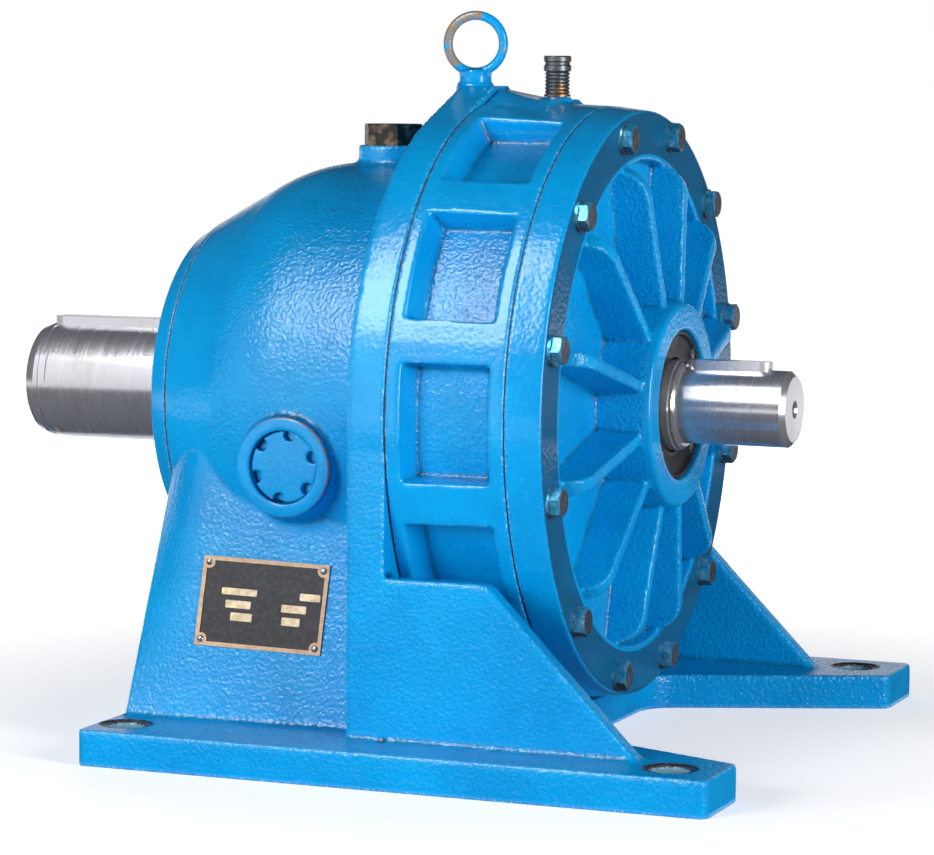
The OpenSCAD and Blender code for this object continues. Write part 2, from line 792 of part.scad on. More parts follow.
// One rib of the cover, running out along +x from the hub
module cover_rib() {
    foot_x = web_x - 2;
    c = [recess_r - rib_round, rim_x + rib_shoulder_h - rib_round];
    intersection() {
        rotate([90, 0, 0])
            linear_extrude(height = rib_base_t + 2, center = true)
                polygon(concat(
                    [[hub_r - 8, foot_x], [recess_r + 3, foot_x], [recess_r + 3, rim_x - 3], [recess_r, rim_x - 3]],
                    arc(c, rib_round, 0, 94, 8),
                    [[hub_r - 8, rim_x + rib_h]]));
        rotate([90, 0, 90])
            linear_extrude(height = ring_r)
                polygon([
                    [-rib_base_t / 2, foot_x], [rib_base_t / 2, foot_x],
                    [rib_t / 2, rim_x + rib_h + eps], [-rib_t / 2, rim_x + rib_h + eps]]);
    }
}

module input_cover() {
    color(cast_blue)
        difference() {
            union() {
                turned([
                    [0, cover_x], [ring_r, cover_x], [ring_r - cover_draft, rim_x - 1.5],
                    [ring_r - cover_draft - 1.5, rim_x],
                    [recess_r, rim_x], [recess_r, web_x], [hub_r + hub_draft, web_x],
                    [hub_r, hub_x - 2], [hub_r - 2, hub_x], [0, hub_x]]);
                around(ring_bolts, 0, 180 / ring_bolts)
                    cover_rib();
            }
            // bearing bore, seal bore and the seat of the seal cover
            turned([
                [0, cover_x - eps], [input_brg_od / 2, cover_x - eps], [input_brg_od / 2, input_brg_x1],
                [in_seal_od / 2, input_brg_x1], [in_seal_od / 2, cover_seat_x],
                [seal_cover_d / 2, cover_seat_x], [seal_cover_d / 2, hub_x - 1],
                [seal_cover_d / 2 + 1, hub_x], [seal_cover_d / 2 + 1, hub_x + eps], [0, hub_x + eps]]);
            tube(input_brg_x0 - snap_t, input_brg_x0, input_brg_od / 2 - 3, input_brg_od / 2 + 2);
            around(ring_bolts, bolt_r, 180 / ring_bolts)
                rod(cover_x - eps, rim_x + eps, bolt_d / 2 + screw_gap);
            around(4, seal_screw_r, 45)
                rod(cover_seat_x - 12, cover_seat_x + eps, seal_screw_d / 2 + run_gap);
        }
}

module output_end_cap() {
    color(cast_blue)
        difference() {
            turned(concat(
                [[out_seal_od / 2 - 5, cap_x1 + gasket_t + spigot_l - run_gap],
                 [outboard_od / 2 - run_gap, cap_x1 + gasket_t + spigot_l - run_gap],
                 [outboard_od / 2 - run_gap, cap_x1], [bell_end_r - 0.5, cap_x1]],
                arc([cap_face_r - 3, cap_x0 + 3], 3, 0, -90, 4),
                [[out_seal_od / 2, cap_x0], [out_seal_od / 2, cap_x1], [out_seal_od / 2 - 5, cap_x1]]));
            around(cap_screws_n, cap_screw_r, 180 / cap_screws_n) {
                rod(cap_x0 - eps, cap_x1 + eps, cap_screw_d / 2 + screw_gap);
                rod(cap_x0 - eps, cap_x0 + cap_t * 0.6, cap_screw_d * 0.8 + screw_gap);
            }
        }
}

// ---------- gaskets ----------

module bolt_circle_gasket(x0, r_in, r_out) {
    difference() {
        tube(x0, x0 + gasket_t, r_in, r_out - 1.2);
        around(ring_bolts, bolt_r, 180 / ring_bolts)
            rod(x0 - eps, x0 + gasket_t + eps, bolt_d / 2 + screw_gap);
    }
}

module casing_gasket() {
    color(gasket_grey)
        bolt_circle_gasket(flange_x, pin_circle_r + pin_d / 2 + 6, ring_back_r);
}

module cover_gasket() {
    color(gasket_grey)
        bolt_circle_gasket(ring_x1, pin_circle_r + pin_d / 2 + 6, ring_r);
}

module cap_gasket() {
    color(gasket_grey)
        difference() {
            tube(cap_x1, end_x, outboard_od / 2 + run_gap, bell_end_r - 1);
            around(cap_screws_n, cap_screw_r, 180 / cap_screws_n)
                rod(cap_x1 - eps, end_x + eps, cap_screw_d / 2 + screw_gap);
        }
}

// ---------- fasteners and fittings ----------

seal_screw_d = 5;
seal_screw_r = (in_seal_od + seal_cover_d) / 4;
screw_seat_x = cover_seat_x + seal_cover_t - 4;

module flange_bolts() {
    color(dark_steel)
        on_axis()
            for (i = [0:ring_bolts - 1])
                rotate([0, 0, (i + 0.5) * 360 / ring_bolts])
                    translate([bolt_r, 0, 0]) {
                        rod(back_x + 2, rim_x + eps, bolt_d / 2);
                        rod(rim_x, rim_x + washer_t + eps, bolt_af / sqrt(3) + 0.3);
                        translate([0, 0, rim_x + washer_t])
                            rotate([0, 0, 17 * i])
                                hex_head(bolt_af, bolt_head_h);
                    }
}

module cap_screws() {
    head_x = cap_x0 + cap_t * 0.6;
    color(dark_steel)
        around(cap_screws_n, cap_screw_r, 180 / cap_screws_n)
            difference() {
                union() {
                    rod(head_x - eps, end_x + cap_screw_l - 2, cap_screw_d / 2);
                    rod(cap_x0 + 0.4, head_x, cap_screw_d * 0.8);
                }
                translate([0, 0, cap_x0])
                    cylinder(h = cap_t * 0.35, r = cap_screw_d * 0.46, $fn = 6);
            }
}

module eyebolt() {
    throat = eye_h - eye_r;
    color(cast_blue)
        translate([eye_x, 0, eye_seat_z]) {
            translate([0, 0, -eye_thread_l])
                cylinder(h = eye_thread_l + eps, r = eye_thread_r);
            rotate_extrude()
                polygon([
                    [0, 0], [eye_boss_r - 0.5, 0], [eye_boss_r - 1, 1.2], [eye_boss_r - 2.4, 3], [eye_boss_r - 2.6, 7],
                    [eye_boss_r - 2, throat], [eye_boss_r - 3, throat + 1.6], [5, throat + 3], [0, throat + 3]]);
            translate([0, 0, eye_h])
                rotate([90, 0, eye_turn])
                    rotate_extrude()
                        translate([eye_r, 0])
                            circle(d = eye_bar_d, $fn = 32);
        }
}

module filler_plug() {
    color(dark_steel)
        translate([filler_cx, 0, filler_z]) {
            hex_head(filler_af, filler_h);
            translate([0, 0, -filler_boss_h - 6])
                cylinder(h = filler_boss_h + 6 + eps, r = filler_thread_r);
        }
}

// Pipe nipple, threaded outside, with two thick turns at its open top
module oil_pipe() {
    ridges = 6;
    pitch = (pipe_l - 14) / ridges;
    r = pipe_d / 2;
    lip_r = r + 1;
    root_r = r - 1;
    color(dark_steel)
        translate([ring_mid, 0, pipe_boss_z])
            rotate_extrude()
                polygon(concat(
                    [[r - 4, -18], [r - 2, -18], [r - 2, 0], [r + 0.6, 0], [r + 0.6, 1.6]],
                    [for (i = [0:ridges - 1]) each [
                        [root_r, 2 + i * pitch], [r, 2 + (i + 0.4) * pitch], [r, 2 + (i + 0.65) * pitch]]],
                    [[root_r, pipe_l - 12], [lip_r, pipe_l - 11], [lip_r, pipe_l - 7.5], [r, pipe_l - 6.5],
                     [r, pipe_l - 5], [lip_r, pipe_l - 4], [lip_r, pipe_l - 1], [lip_r - 0.8, pipe_l],
                     [r - 3, pipe_l], [r - 4, pipe_l - 1.5]]));
}

// Screwed oil sight plug with wrench notches round its edge
module sight_glass_plug() {
    face = 3;
    color(cast_blue)
        translate([sight_cx, -sight_reach + face, sight_cz])
            rotate([-90, 0, 0])
                difference() {
                    cylinder(h = sight_reach - face - sight_seat - 2, r = sight_plug_r);
                    for (i = [0:sight_notches - 1])
                        rotate([0, 0, 40 + 360 * i / sight_notches])
                            translate([sight_plug_r - 2, 0, -eps])
                                cylinder(h = 6 + eps, r = 4.6);
                    translate([0, 0, -eps])
                        rotate_extrude()
                            polygon([[sight_plug_r - 1, 0], [sight_plug_r + 1, 0], [sight_plug_r + 1, 2]]);
                }
}

module sight_glass_seal() {
    color(seal_black)
        translate([sight_cx, -sight_seat - 2, sight_cz])
            rotate([-90, 0, 0])
                difference() {
                    cylinder(h = 2, r = sight_plug_r + 1.3);
                    translate([0, 0, -eps])
                        cylinder(h = 3, r = sight_plug_r - 5.5);
                }
}

module drain_plug() {
    color(dark_steel)
        translate([drain_face_x, 0, drain_z])
            rotate([0, -90, 0]) {
                rotate([0, 0, 30])
                    hex_head(22, 9);
                translate([0, 0, -22])
                    cylinder(h = 22 + eps, r = drain_thread_r);
            }
}

// Places children on the near pedestal wall, z pointing out of it
plate_cx = end_x + 99;
plate_cz = 109;
module on_nameplate() {
    along = atan(pedestal_taper);
    lean = atan(pedestal_lean * cos(along));
    translate([plate_cx, -pedestal_y(plate_cx, plate_cz), plate_cz])
        rotate([0, 0, along])
            rotate([90 - lean, 0, 0])
                rotate([0, 0, -plate_tilt])
                    children();
}

module plate_rivet_places() {
    for (sx = [-1, 1])
        for (sy = [-1, 1])
            translate([sx * (plate_l / 2 - 4.5), sy * (plate_h / 2 - 4.5), 0])
                children();
}

// Bare plate: a raised frame round a recessed field
module nameplate() {
    color(brass)
        on_nameplate()
            difference() {
                translate([-plate_l / 2, -plate_h / 2, 0.05])
                    cube([plate_l, plate_h, nameplate_t]);
                translate([-plate_l / 2 + 3, -plate_h / 2 + 3, nameplate_t * 0.6])
                    linear_extrude(height = nameplate_t)
                        difference() {
                            square([plate_l - 6, plate_h - 6]);
                            for (x = [1.5, plate_l - 7.5])
                                for (y = [1.5, plate_h - 7.5])
                                    translate([x, y])
                                        circle(r = 4.6, $fn = 32);
                        }
                plate_rivet_places()
                    translate([0, 0, -eps])
                        cylinder(h = 4, r = 1.7);
            }
}

module nameplate_rivets() {
    color(steel)
        on_nameplate()
            plate_rivet_places() {
                translate([0, 0, -7])
                    cylinder(h = 7 + nameplate_t + 0.5, r = 1.45);
                translate([0, 0, nameplate_t + 0.1])
                    intersection() {
                        translate([0, 0, -1.2])
                            sphere(r = 2.9);
                        cylinder(h = 3, r = 3);
                    }
            }
}

// ---------- output side ----------

module output_shaft() {
    r = out_d / 2;
    color(steel)
        difference() {
            turned([
                [0, out_end_x], [r - 3, out_end_x], [r - 0.5, out_end_x + 7], [r - 0.5, out_end_x + 10.5],
                [r - 1.4, out_end_x + 11], [r - 1.4, out_end_x + 12], [r - 0.4, out_end_x + 12.5],
                [r - 0.4, out_end_x + 17], [r, out_end_x + 18], [r, seal_land_x],
                [out_seal_d / 2, seal_land_x + 1], [out_seal_d / 2, outboard_x0],
                [outboard_d / 2, outboard_x0], [outboard_d / 2, outboard_x1],
                [inboard_d / 2 - 0.5, outboard_x1], [inboard_d / 2 - 0.5, inboard_x0],
                [inboard_d / 2, inboard_x0], [inboard_d / 2, inboard_x1],
                [inboard_d / 2 + 11, inboard_x1], [inboard_d / 2 + 11, plate_x0],
                [plate_r, plate_x0], [plate_r, plate_x1], [pilot_od / 2, plate_x1],
                [pilot_od / 2, pilot_x0], [pilot_od / 2 - 8, pilot_x0],
                [pilot_od / 2 - 8, pilot_x0 - 3], [0, pilot_x0 - 3]]);
            around(out_pins_n, out_circle_d / 2)
                rod(plate_x0 - eps, plate_x1 + eps, out_pin_d / 2 + 0.02);
            translate([out_key_x, 0, centre_h + r - out_key_depth])
                key_bar(out_key_l, out_key_w, out_key_h);
            on_axis()
                translate([0, 0, out_end_x - eps])
                    cylinder(h = centre_hole_l, r = centre_hole_d * 0.7);
        }
}

out_key_x = out_end_x + out_key_inset;
out_key_l = seal_land_x - 2 - out_key_x;

module output_key() {
    color(steel)
        translate([out_key_x + run_gap, 0, centre_h + out_d / 2 - out_key_depth])
            key_bar(out_key_l - 2 * run_gap, out_key_w - 2 * run_gap, out_key_h);
}

module output_oil_seal() {
    color(seal_black)
        turned([
            [out_seal_d / 2 + run_gap, cap_x0 + 6], [out_seal_d / 2 + run_gap, cap_x0 + 7],
            [out_seal_d / 2 + 3, cap_x1 - 0.5], [out_seal_od / 2, cap_x1 - 0.5],
            [out_seal_od / 2, cap_x0 + 0.6], [out_seal_d / 2 + 4, cap_x0 + 0.6],
            [out_seal_d / 2 + 2.5, cap_x0 + 3]]);
}

module output_pins() {
    color(bearing_steel)
        around(out_pins_n, out_circle_d / 2)
            rod(plate_x0, disc_end_x + 4, out_pin_d / 2);
}

module output_pin_rollers() {
    color(bearing_steel)
        around(out_pins_n, out_circle_d / 2)
            difference() {
                rod(plate_x1 + 0.5, disc_end_x + 3, out_roller_d / 2);
                rod(plate_x1 - eps, disc_end_x + 5, out_pin_d / 2 + run_gap);
            }
}

module outboard_bearing_outer() {
    color(bearing_steel)
        bearing_outer(outboard_x0, outboard_w, outboard_d, outboard_od - 2 * run_gap);
}
module outboard_bearing_inner() {
    color(bearing_steel)
        bearing_inner(outboard_x0, outboard_w, outboard_d + 2 * run_gap, outboard_od);
}
module outboard_bearing_balls() {
    color(brass)
        bearing_balls(outboard_x0, outboard_w, outboard_d, outboard_od);
}
module inboard_bearing_outer() {
    color(bearing_steel)
        bearing_outer(inboard_x0, inboard_w, inboard_d, inboard_od - 2 * run_gap);
}
module inboard_bearing_inner() {
    color(bearing_steel)
        bearing_inner(inboard_x0, inboard_w, inboard_d + 2 * run_gap, inboard_od);
}
module inboard_bearing_balls() {
    color(brass)
        bearing_balls(inboard_x0, inboard_w, inboard_d, inboard_od);
}
module pilot_bearing_outer() {
    color(bearing_steel)
        bearing_outer(pilot_x0, pilot_w, pilot_d, pilot_od - 2 * run_gap);
}
module pilot_bearing_inner() {
    color(bearing_steel)
        bearing_inner(pilot_x0, pilot_w, pilot_d + 2 * run_gap, pilot_od);
}
module pilot_bearing_balls() {
    color(brass)
        bearing_balls(pilot_x0, pilot_w, pilot_d, pilot_od);
}
module input_bearing_outer() {
    color(bearing_steel)
        bearing_outer(input_brg_x0, input_brg_w, input_brg_d, input_brg_od - 2 * run_gap);
}
module input_bearing_inner() {
    color(bearing_steel)
        bearing_inner(input_brg_x0, input_brg_w, input_brg_d + 2 * run_gap, input_brg_od);
}
module input_bearing_balls() {
    color(brass)
        bearing_balls(input_brg_x0, input_brg_w, input_brg_d, input_brg_od);
}

// ---------- cycloid drive ----------

module ring_pins() {
    color(bearing_steel)
        around(pins_n, pin_circle_r)
            rod(ring_x0 + 0.2, ring_x1 - 0.2, pin_d / 2);
}

module ring_pin_sleeves() {
    color(bearing_steel)
        around(pins_n, pin_circle_r)
            difference() {
                rod(ring_x0 + lip_t + 0.4, ring_x1 - lip_t - 0.4, sleeve_d / 2);
                rod(ring_x0, ring_x1, pin_d / 2 + run_gap);
            }
}

// One point of the disc's outline: the inner envelope of the sleeves, rolled round the ring
function disc_point(a) =
    let (
        big = pin_circle_r,
        roll = sleeve_d / 2 + mesh_gap,
        tilt = atan2(sin((1 - pins_n) * a), big / (ecc * pins_n) - cos((1 - pins_n) * a))
    )
    [big * cos(a) - roll * cos(a + tilt) - ecc * cos(pins_n * a),
     -big * sin(a) + roll * sin(a + tilt) + ecc * sin(pins_n * a)];

// Disc with its lobes, centre bore and output pin holes, thrown ecc off the shaft axis
module cycloid_disc(x0) {
    steps = lobes * 28;
    translate([ecc, 0, x0])
        difference() {
            linear_extrude(height = disc_t)
                polygon([for (i = [0:steps - 1]) disc_point(360 * i / steps)]);
            translate([0, 0, -eps])
                cylinder(h = disc_t + 2 * eps, r = disc_bore_r);
            for (i = [0:out_pins_n - 1])
                rotate([0, 0, 360 * i / out_pins_n])
                    translate([out_circle_d / 2, 0, -eps])
                        cylinder(h = disc_t + 2 * eps, r = out_hole_r);
        }
}

module cycloid_disc_a() {
    color(steel)
        on_axis()
            cycloid_disc(disc_a_x);
}

module cycloid_disc_b() {
    color(steel)
        on_axis()
            rotate([0, 0, 180])
                cycloid_disc(disc_b_x);
}

module disc_spacer() {
    color(bearing_steel)
        tube(disc_a_x - disc_space + 0.3, disc_a_x - 0.3, disc_bore_r + 8, spacer_r);
}

module eccentric_sleeve() {
    color(steel)
        on_axis()
            difference() {
                union() {
                    translate([ecc, 0, 0])
                        rod(disc_a_x - 2, shoulder_x, ecc_r);
                    translate([-ecc, 0, 0])
                        rod(sleeve_x0, disc_b_x + disc_t + 2, ecc_r);
                    rod(disc_a_x - disc_space + 1, disc_a_x - 1, arm_pitch_r + 1);
                }
                rod(sleeve_x0 - eps, shoulder_x + eps, ecc_seat_d / 2 + run_gap);
                translate([-7 - run_gap, 0, sleeve_x0 - eps])
                    cube([14 + 2 * run_gap, ecc_seat_d / 2 + 4, shoulder_x - sleeve_x0 + 2 * eps]);
            }
}

module eccentric_key() {
    color(steel)
        on_axis()
            translate([-7, ecc_seat_d / 2 - 5.5, sleeve_x0 + 6])
                cube([14, 9, shoulder_x - sleeve_x0 - 12]);
}

// Rollers and cage of one arm bearing, round the eccentric
module arm_bearing(x0) {
    roller_l = disc_t - 4;
    translate([ecc, 0, x0 + 2]) {
        for (i = [0:arm_rollers_n - 1])
            rotate([0, 0, 360 * i / arm_rollers_n])
                translate([arm_pitch_r, 0, 0])
                    cylinder(h = roller_l, r = arm_roller_d / 2 - race_gap);
        difference() {
            translate([0, 0, -1.5])
                cylinder(h = roller_l + 3, r = arm_pitch_r + 1.6);
            translate([0, 0, -2])
                cylinder(h = roller_l + 4, r = arm_pitch_r - 1.6);
            for (i = [0:arm_rollers_n - 1])
                rotate([0, 0, 360 * i / arm_rollers_n])
                    translate([arm_pitch_r, 0, -0.2])
                        cylinder(h = roller_l + 0.4, r = arm_roller_d / 2);
        }
    }
}

module arm_bearing_a() {
    color(brass)
        on_axis()
            arm_bearing(disc_a_x);
}

module arm_bearing_b() {
    color(brass)
        on_axis()
            rotate([0, 0, 180])
                arm_bearing(disc_b_x);
}

// ---------- input side ----------

in_key_x = wear_x1 + 1;

module input_shaft() {
    r = in_d / 2;
    seat = ecc_seat_d / 2;
    color(steel)
        difference() {
            turned([
                [0, pilot_x0 + 0.5], [pilot_d / 2 - 1, pilot_x0 + 0.5], [pilot_d / 2, pilot_x0 + 1.5],
                [pilot_d / 2, pilot_x1], [seat, pilot_x1 + 0.5], [seat, shoulder_x],
                [input_brg_d / 2 + 5, shoulder_x], [input_brg_d / 2 + 5, input_brg_x0],
                [input_brg_d / 2, input_brg_x0], [input_brg_d / 2, input_brg_x1],
                [r, input_brg_x1], [r, in_end_x - 4], [r - 4, in_end_x], [0, in_end_x]]);
            translate([in_key_x, 0, centre_h + r - in_key_depth])
                key_bar(in_key_l, in_key_w, in_key_h);
            on_axis() {
                translate([0, 0, in_end_x - centre_hole_l])
                    cylinder(h = centre_hole_l + eps, r = centre_hole_d / 2 - 0.9);
                translate([0, 0, in_end_x - 2])
                    cylinder(h = 2 + eps, r1 = centre_hole_d / 2 - 0.9, r2 = centre_hole_d / 2 + 1);
            }
            // groove of the snap ring and keyway of the eccentric sleeve
            tube(sleeve_x0 - snap_t, sleeve_x0, seat - 1.5, seat + 2);
            on_axis()
                translate([-7, seat - 5.5, sleeve_x0 + 6])
                    cube([14, 12, shoulder_x - sleeve_x0 - 12]);
        }
}

module input_key() {
    color(steel)
        translate([in_key_x + run_gap, 0, centre_h + in_d / 2 - in_key_depth])
            key_bar(in_key_l - 2 * run_gap, in_key_w - 2 * run_gap, in_key_h);
}

// Ground sleeve on the shaft for the oil seal to run on, with a stepped nose
module wear_sleeve() {
    r = wear_sleeve_d / 2;
    color(steel)
        turned([
            [in_d / 2 + run_gap, input_brg_x1], [r, input_brg_x1], [r, wear_x1 - 5],
            [r - 1.2, wear_x1 - 4], [r - 1.2, wear_x1 - 2], [r - 3.2, wear_x1], [in_d / 2 + run_gap, wear_x1]]);
}

module shaft_snap_ring() {
    color(dark_steel)
        tube(sleeve_x0 - snap_t + 0.1, sleeve_x0 - 0.05, ecc_seat_d / 2 - 1.4, ecc_seat_d / 2 + 3);
}

module bearing_snap_ring() {
    color(dark_steel)
        tube(input_brg_x0 - snap_t + 0.1, input_brg_x0 - 0.05, input_brg_od / 2 - 4, input_brg_od / 2 + 1.9);
}

module input_oil_seal() {
    color(seal_black)
        turned([
            [wear_sleeve_d / 2 + run_gap, input_brg_x1 + 5], [wear_sleeve_d / 2 + run_gap, input_brg_x1 + 6],
            [wear_sleeve_d / 2 + 3, input_brg_x1 + in_seal_w + 1],
            [in_seal_od / 2, input_brg_x1 + in_seal_w + 1], [in_seal_od / 2, input_brg_x1 + 1],
            [wear_sleeve_d / 2 + 4, input_brg_x1 + 1]]);
}

// Dished black ring over the seal
module seal_cover() {
    r_in = wear_sleeve_d / 2 + 1.5;
    r_out = seal_cover_d / 2 - 0.2;
    color(seal_black)
        difference() {
            turned([
                [r_in, cover_seat_x], [r_out, cover_seat_x], [r_out, cover_seat_x + seal_cover_t - 1],
                [r_out - 1, cover_seat_x + seal_cover_t], [r_out - 3, cover_seat_x + seal_cover_t],
                [r_out - 4.5, cover_seat_x + seal_cover_t - 2.5], [r_in + 3, cover_seat_x + seal_cover_t - 4.5],
                [r_in, cover_seat_x + seal_cover_t - 4.5]]);
            around(4, seal_screw_r, 45) {
                rod(cover_seat_x - eps, hub_x, seal_screw_d / 2 + 0.3);
                rod(screw_seat_x, hub_x, seal_screw_d * 0.85 + 0.3);
            }
        }
}

module seal_cover_screws() {
    color(steel)
        around(4, seal_screw_r, 45) {
            rod(cover_seat_x - 11, screw_seat_x + eps, seal_screw_d / 2);
            difference() {
                rod(screw_seat_x, screw_seat_x + 2.5, seal_screw_d * 0.85);
                translate([-0.5, -seal_screw_d, screw_seat_x + 1.3])
                    cube([1, 2 * seal_screw_d, 3]);
            }
        }
}

// ---------- nodes ----------

base_casing();
pin_gear_housing();
input_cover();
output_end_cap();
casing_gasket();
cover_gasket();
cap_gasket();
flange_bolts();
cap_screws();
eyebolt();
filler_plug();
oil_pipe();
sight_glass_plug();
sight_glass_seal();
drain_plug();
nameplate();
nameplate_rivets();
output_shaft();
output_key();
output_oil_seal();
output_pins();
output_pin_rollers();
outboard_bearing_outer();
outboard_bearing_inner();
outboard_bearing_balls();
inboard_bearing_outer();
inboard_bearing_inner();
inboard_bearing_balls();
pilot_bearing_outer();
pilot_bearing_inner();
pilot_bearing_balls();
input_bearing_outer();
input_bearing_inner();
input_bearing_balls();
ring_pins();
ring_pin_sleeves();
cycloid_disc_a();
cycloid_disc_b();
disc_spacer();
eccentric_sleeve();
eccentric_key();
arm_bearing_a();
arm_bearing_b();
input_shaft();
input_key();
wear_sleeve();
shaft_snap_ring();
bearing_snap_ring();
input_oil_seal();
seal_cover();
seal_cover_screws();
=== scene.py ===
import json
import math
import bmesh
import bpy
import numpy as np
from mathutils import Matrix, Vector
from mathutils.bvhtree import BVHTree


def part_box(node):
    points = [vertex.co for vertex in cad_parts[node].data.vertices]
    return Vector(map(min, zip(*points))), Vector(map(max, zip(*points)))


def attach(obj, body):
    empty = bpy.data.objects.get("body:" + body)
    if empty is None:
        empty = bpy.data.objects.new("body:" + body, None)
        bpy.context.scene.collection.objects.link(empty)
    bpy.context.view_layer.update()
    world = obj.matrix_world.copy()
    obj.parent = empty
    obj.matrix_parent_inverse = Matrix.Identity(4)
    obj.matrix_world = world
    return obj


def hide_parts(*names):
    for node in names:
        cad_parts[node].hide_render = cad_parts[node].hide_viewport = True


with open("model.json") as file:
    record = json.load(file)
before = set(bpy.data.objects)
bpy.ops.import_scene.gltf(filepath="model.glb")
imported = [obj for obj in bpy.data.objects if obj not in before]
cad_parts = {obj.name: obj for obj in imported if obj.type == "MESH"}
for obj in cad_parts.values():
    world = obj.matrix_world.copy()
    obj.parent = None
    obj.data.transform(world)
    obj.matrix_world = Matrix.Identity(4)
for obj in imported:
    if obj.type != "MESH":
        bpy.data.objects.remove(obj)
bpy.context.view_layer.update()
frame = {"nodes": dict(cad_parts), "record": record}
bpy.context.scene.view_settings.view_transform = "Standard"
nodes = frame["nodes"]

AXIS_Z = 0.25
CAMERA_PLACE = (0.9608, -2.5043, 0.4903)
CAMERA_ANGLES = (21.70, 5.60, 0.42)
CAMERA_LENS = 138.8


def link(name, data):
    """A new object in the scene."""
    obj = bpy.data.objects.new(name, data)
    bpy.context.scene.collection.objects.link(obj)
    return obj


# ---------- camera ----------

def add_camera():
    """The photograph's place and its azimuth, elevation and roll, in the frame's own axes."""
    az, el, roll = (math.radians(a) for a in CAMERA_ANGLES)
    fwd = Vector((-math.sin(az) * math.cos(el), math.cos(az) * math.cos(el), -math.sin(el)))
    right = Vector((math.cos(az), math.sin(az), 0))
    up = right.cross(fwd)
    right, up = (right * math.cos(roll) + up * math.sin(roll), up * math.cos(roll) - right * math.sin(roll))
    cam = link("Camera", bpy.data.cameras.new("Camera"))
    cam.data.lens = CAMERA_LENS
    cam.data.sensor_width = 36
    cam.data.clip_end = 60
    m = Matrix((right, up, -fwd)).transposed().to_4x4()
    m.translation = Vector(CAMERA_PLACE)
    cam.matrix_world = m
    bpy.context.scene.camera = cam


# ---------- node helpers ----------

class Graph:
    """A node tree, with short calls to add and join nodes. Patterns follow the object's own coordinates."""

    def __init__(self, tree):
        self.tree = tree
        self.tree.nodes.clear()
        self.coords = self.node("ShaderNodeTexCoord").outputs["Object"]

    def node(self, kind, **values):
        n = self.tree.nodes.new(kind)
        for k, v in values.items():
            if hasattr(n, k):
                setattr(n, k, v)
            else:
                n.inputs[k].default_value = v
        return n

    def join(self, a, b):
        self.tree.links.new(a, b)

    def noise(self, scale, detail, rough=0.5, stretch=None):
        n = self.node("ShaderNodeTexNoise", Scale=scale, Detail=detail, Roughness=rough)
        source = self.coords
        if stretch:
            mapping = self.node("ShaderNodeMapping", Scale=stretch)
            self.join(source, mapping.inputs["Vector"])
            source = mapping.outputs[0]
        self.join(source, n.inputs["Vector"])
        return n.outputs["Fac"]

    def ramp(self, value, start, end, a=0.0, b=1.0):
        """a where value is at start, b where it is at end, clamped outside."""
        n = self.node("ShaderNodeMapRange")
        for key, number in (("From Min", start), ("From Max", end), ("To Min", a), ("To Max", b)):
            n.inputs[key].default_value = number
        self.join(value, n.inputs["Value"])
        return n.outputs[0]

    def math(self, op, a, b=None):
        n = self.node("ShaderNodeMath", operation=op)
        for i, v in enumerate((a, b)):
            if v is None:
                continue
            if isinstance(v, (int, float)):
                n.inputs[i].default_value = v
            else:
                self.join(v, n.inputs[i])
        return n.outputs[0]

    def mix(self, fac, a, b):
        """Colour a where fac is 0, b where it is 1. Sockets 6, 7 and 2 are the node's colour ones."""
        n = self.node("ShaderNodeMix", data_type="RGBA")
        self.join(fac, n.inputs["Factor"])
        for key, v in ((6, a), (7, b)):
            if isinstance(v, tuple):
                n.inputs[key].default_value = (*v, 1)
            else:
                self.join(v, n.inputs[key])
        return n.outputs[2]

    def hypot(self, a, b):
        return self.math("SQRT", self.math("ADD", self.math("MULTIPLY", a, a), self.math("MULTIPLY", b, b)))

    def bump(self, height, distance, strength, after=None):
        n = self.node("ShaderNodeBump", Distance=distance, Strength=strength)
        self.join(height, n.inputs["Height"])
        if after is not None:
            self.join(after, n.inputs["Normal"])
        return n.outputs[0]

    def axis(self, i, source=None):
        n = self.node("ShaderNodeSeparateXYZ")
        self.join(source or self.coords, n.inputs[0])
        return n.outputs[i]

    def facing(self, i):
        """The surface normal's share along axis i of the object's own frame."""
        return self.axis(i, self.node("ShaderNodeTexCoord").outputs["Normal"])

    def along(self, direction):
        """Distance of a point along a direction."""
        n = self.node("ShaderNodeVectorMath", operation="DOT_PRODUCT")
        self.join(self.coords, n.inputs[0])
        n.inputs[1].default_value = direction
        return n.outputs["Value"]

    def off_axis(self):
        """Distance of a point from the shaft axis."""
        return self.hypot(self.axis(1), self.math("SUBTRACT", self.axis(2), AXIS_Z))


class Finish(Graph):
    """A material with one Principled surface."""

    def __init__(self, name):
        self.mat = bpy.data.materials.new(name)
        self.mat.use_nodes = True
        super().__init__(self.mat.node_tree)
        self.out = self.node("ShaderNodeOutputMaterial")
        self.bsdf = self.node("ShaderNodeBsdfPrincipled")
        self.join(self.bsdf.outputs[0], self.out.inputs["Surface"])

    def set(self, **values):
        """Numbers go on the shader's sockets, and node outputs are joined to them."""
        for key, value in values.items():
            socket = self.bsdf.inputs[key.replace("_", " ")]
            if isinstance(value, bpy.types.NodeSocket):
                self.join(value, socket)
            else:
                socket.default_value = value

    def end_with(self, shader):
        """Another shader in the Principled surface's place."""
        self.tree.nodes.remove(self.bsdf)
        self.join(shader.outputs[0], self.out.inputs["Surface"])


# ---------- materials ----------

BLUE = (0.0006, 0.345, 0.76)
BLUE_DEEP = (0.0006, 0.280, 0.66)
# Darker blue for the cover rim's machined face: a painted shade.
RIM_SHADE_BLUE = (0.008, 0.085, 0.19)
FLECK = (0.05, 0.52, 0.90)
# Pale blue-white for specks on convex edges: painted glints.
EDGE_GLINT = (0.52, 0.80, 0.92)
PRIMER = (0.34, 0.20, 0.09)
# Dark blue-black for concave corners: painted shade, laid in patches.
CORNER_SHADE = (0.004, 0.022, 0.05)
STEEL = (0.68, 0.68, 0.72)
STAIN = (0.42, 0.31, 0.19)


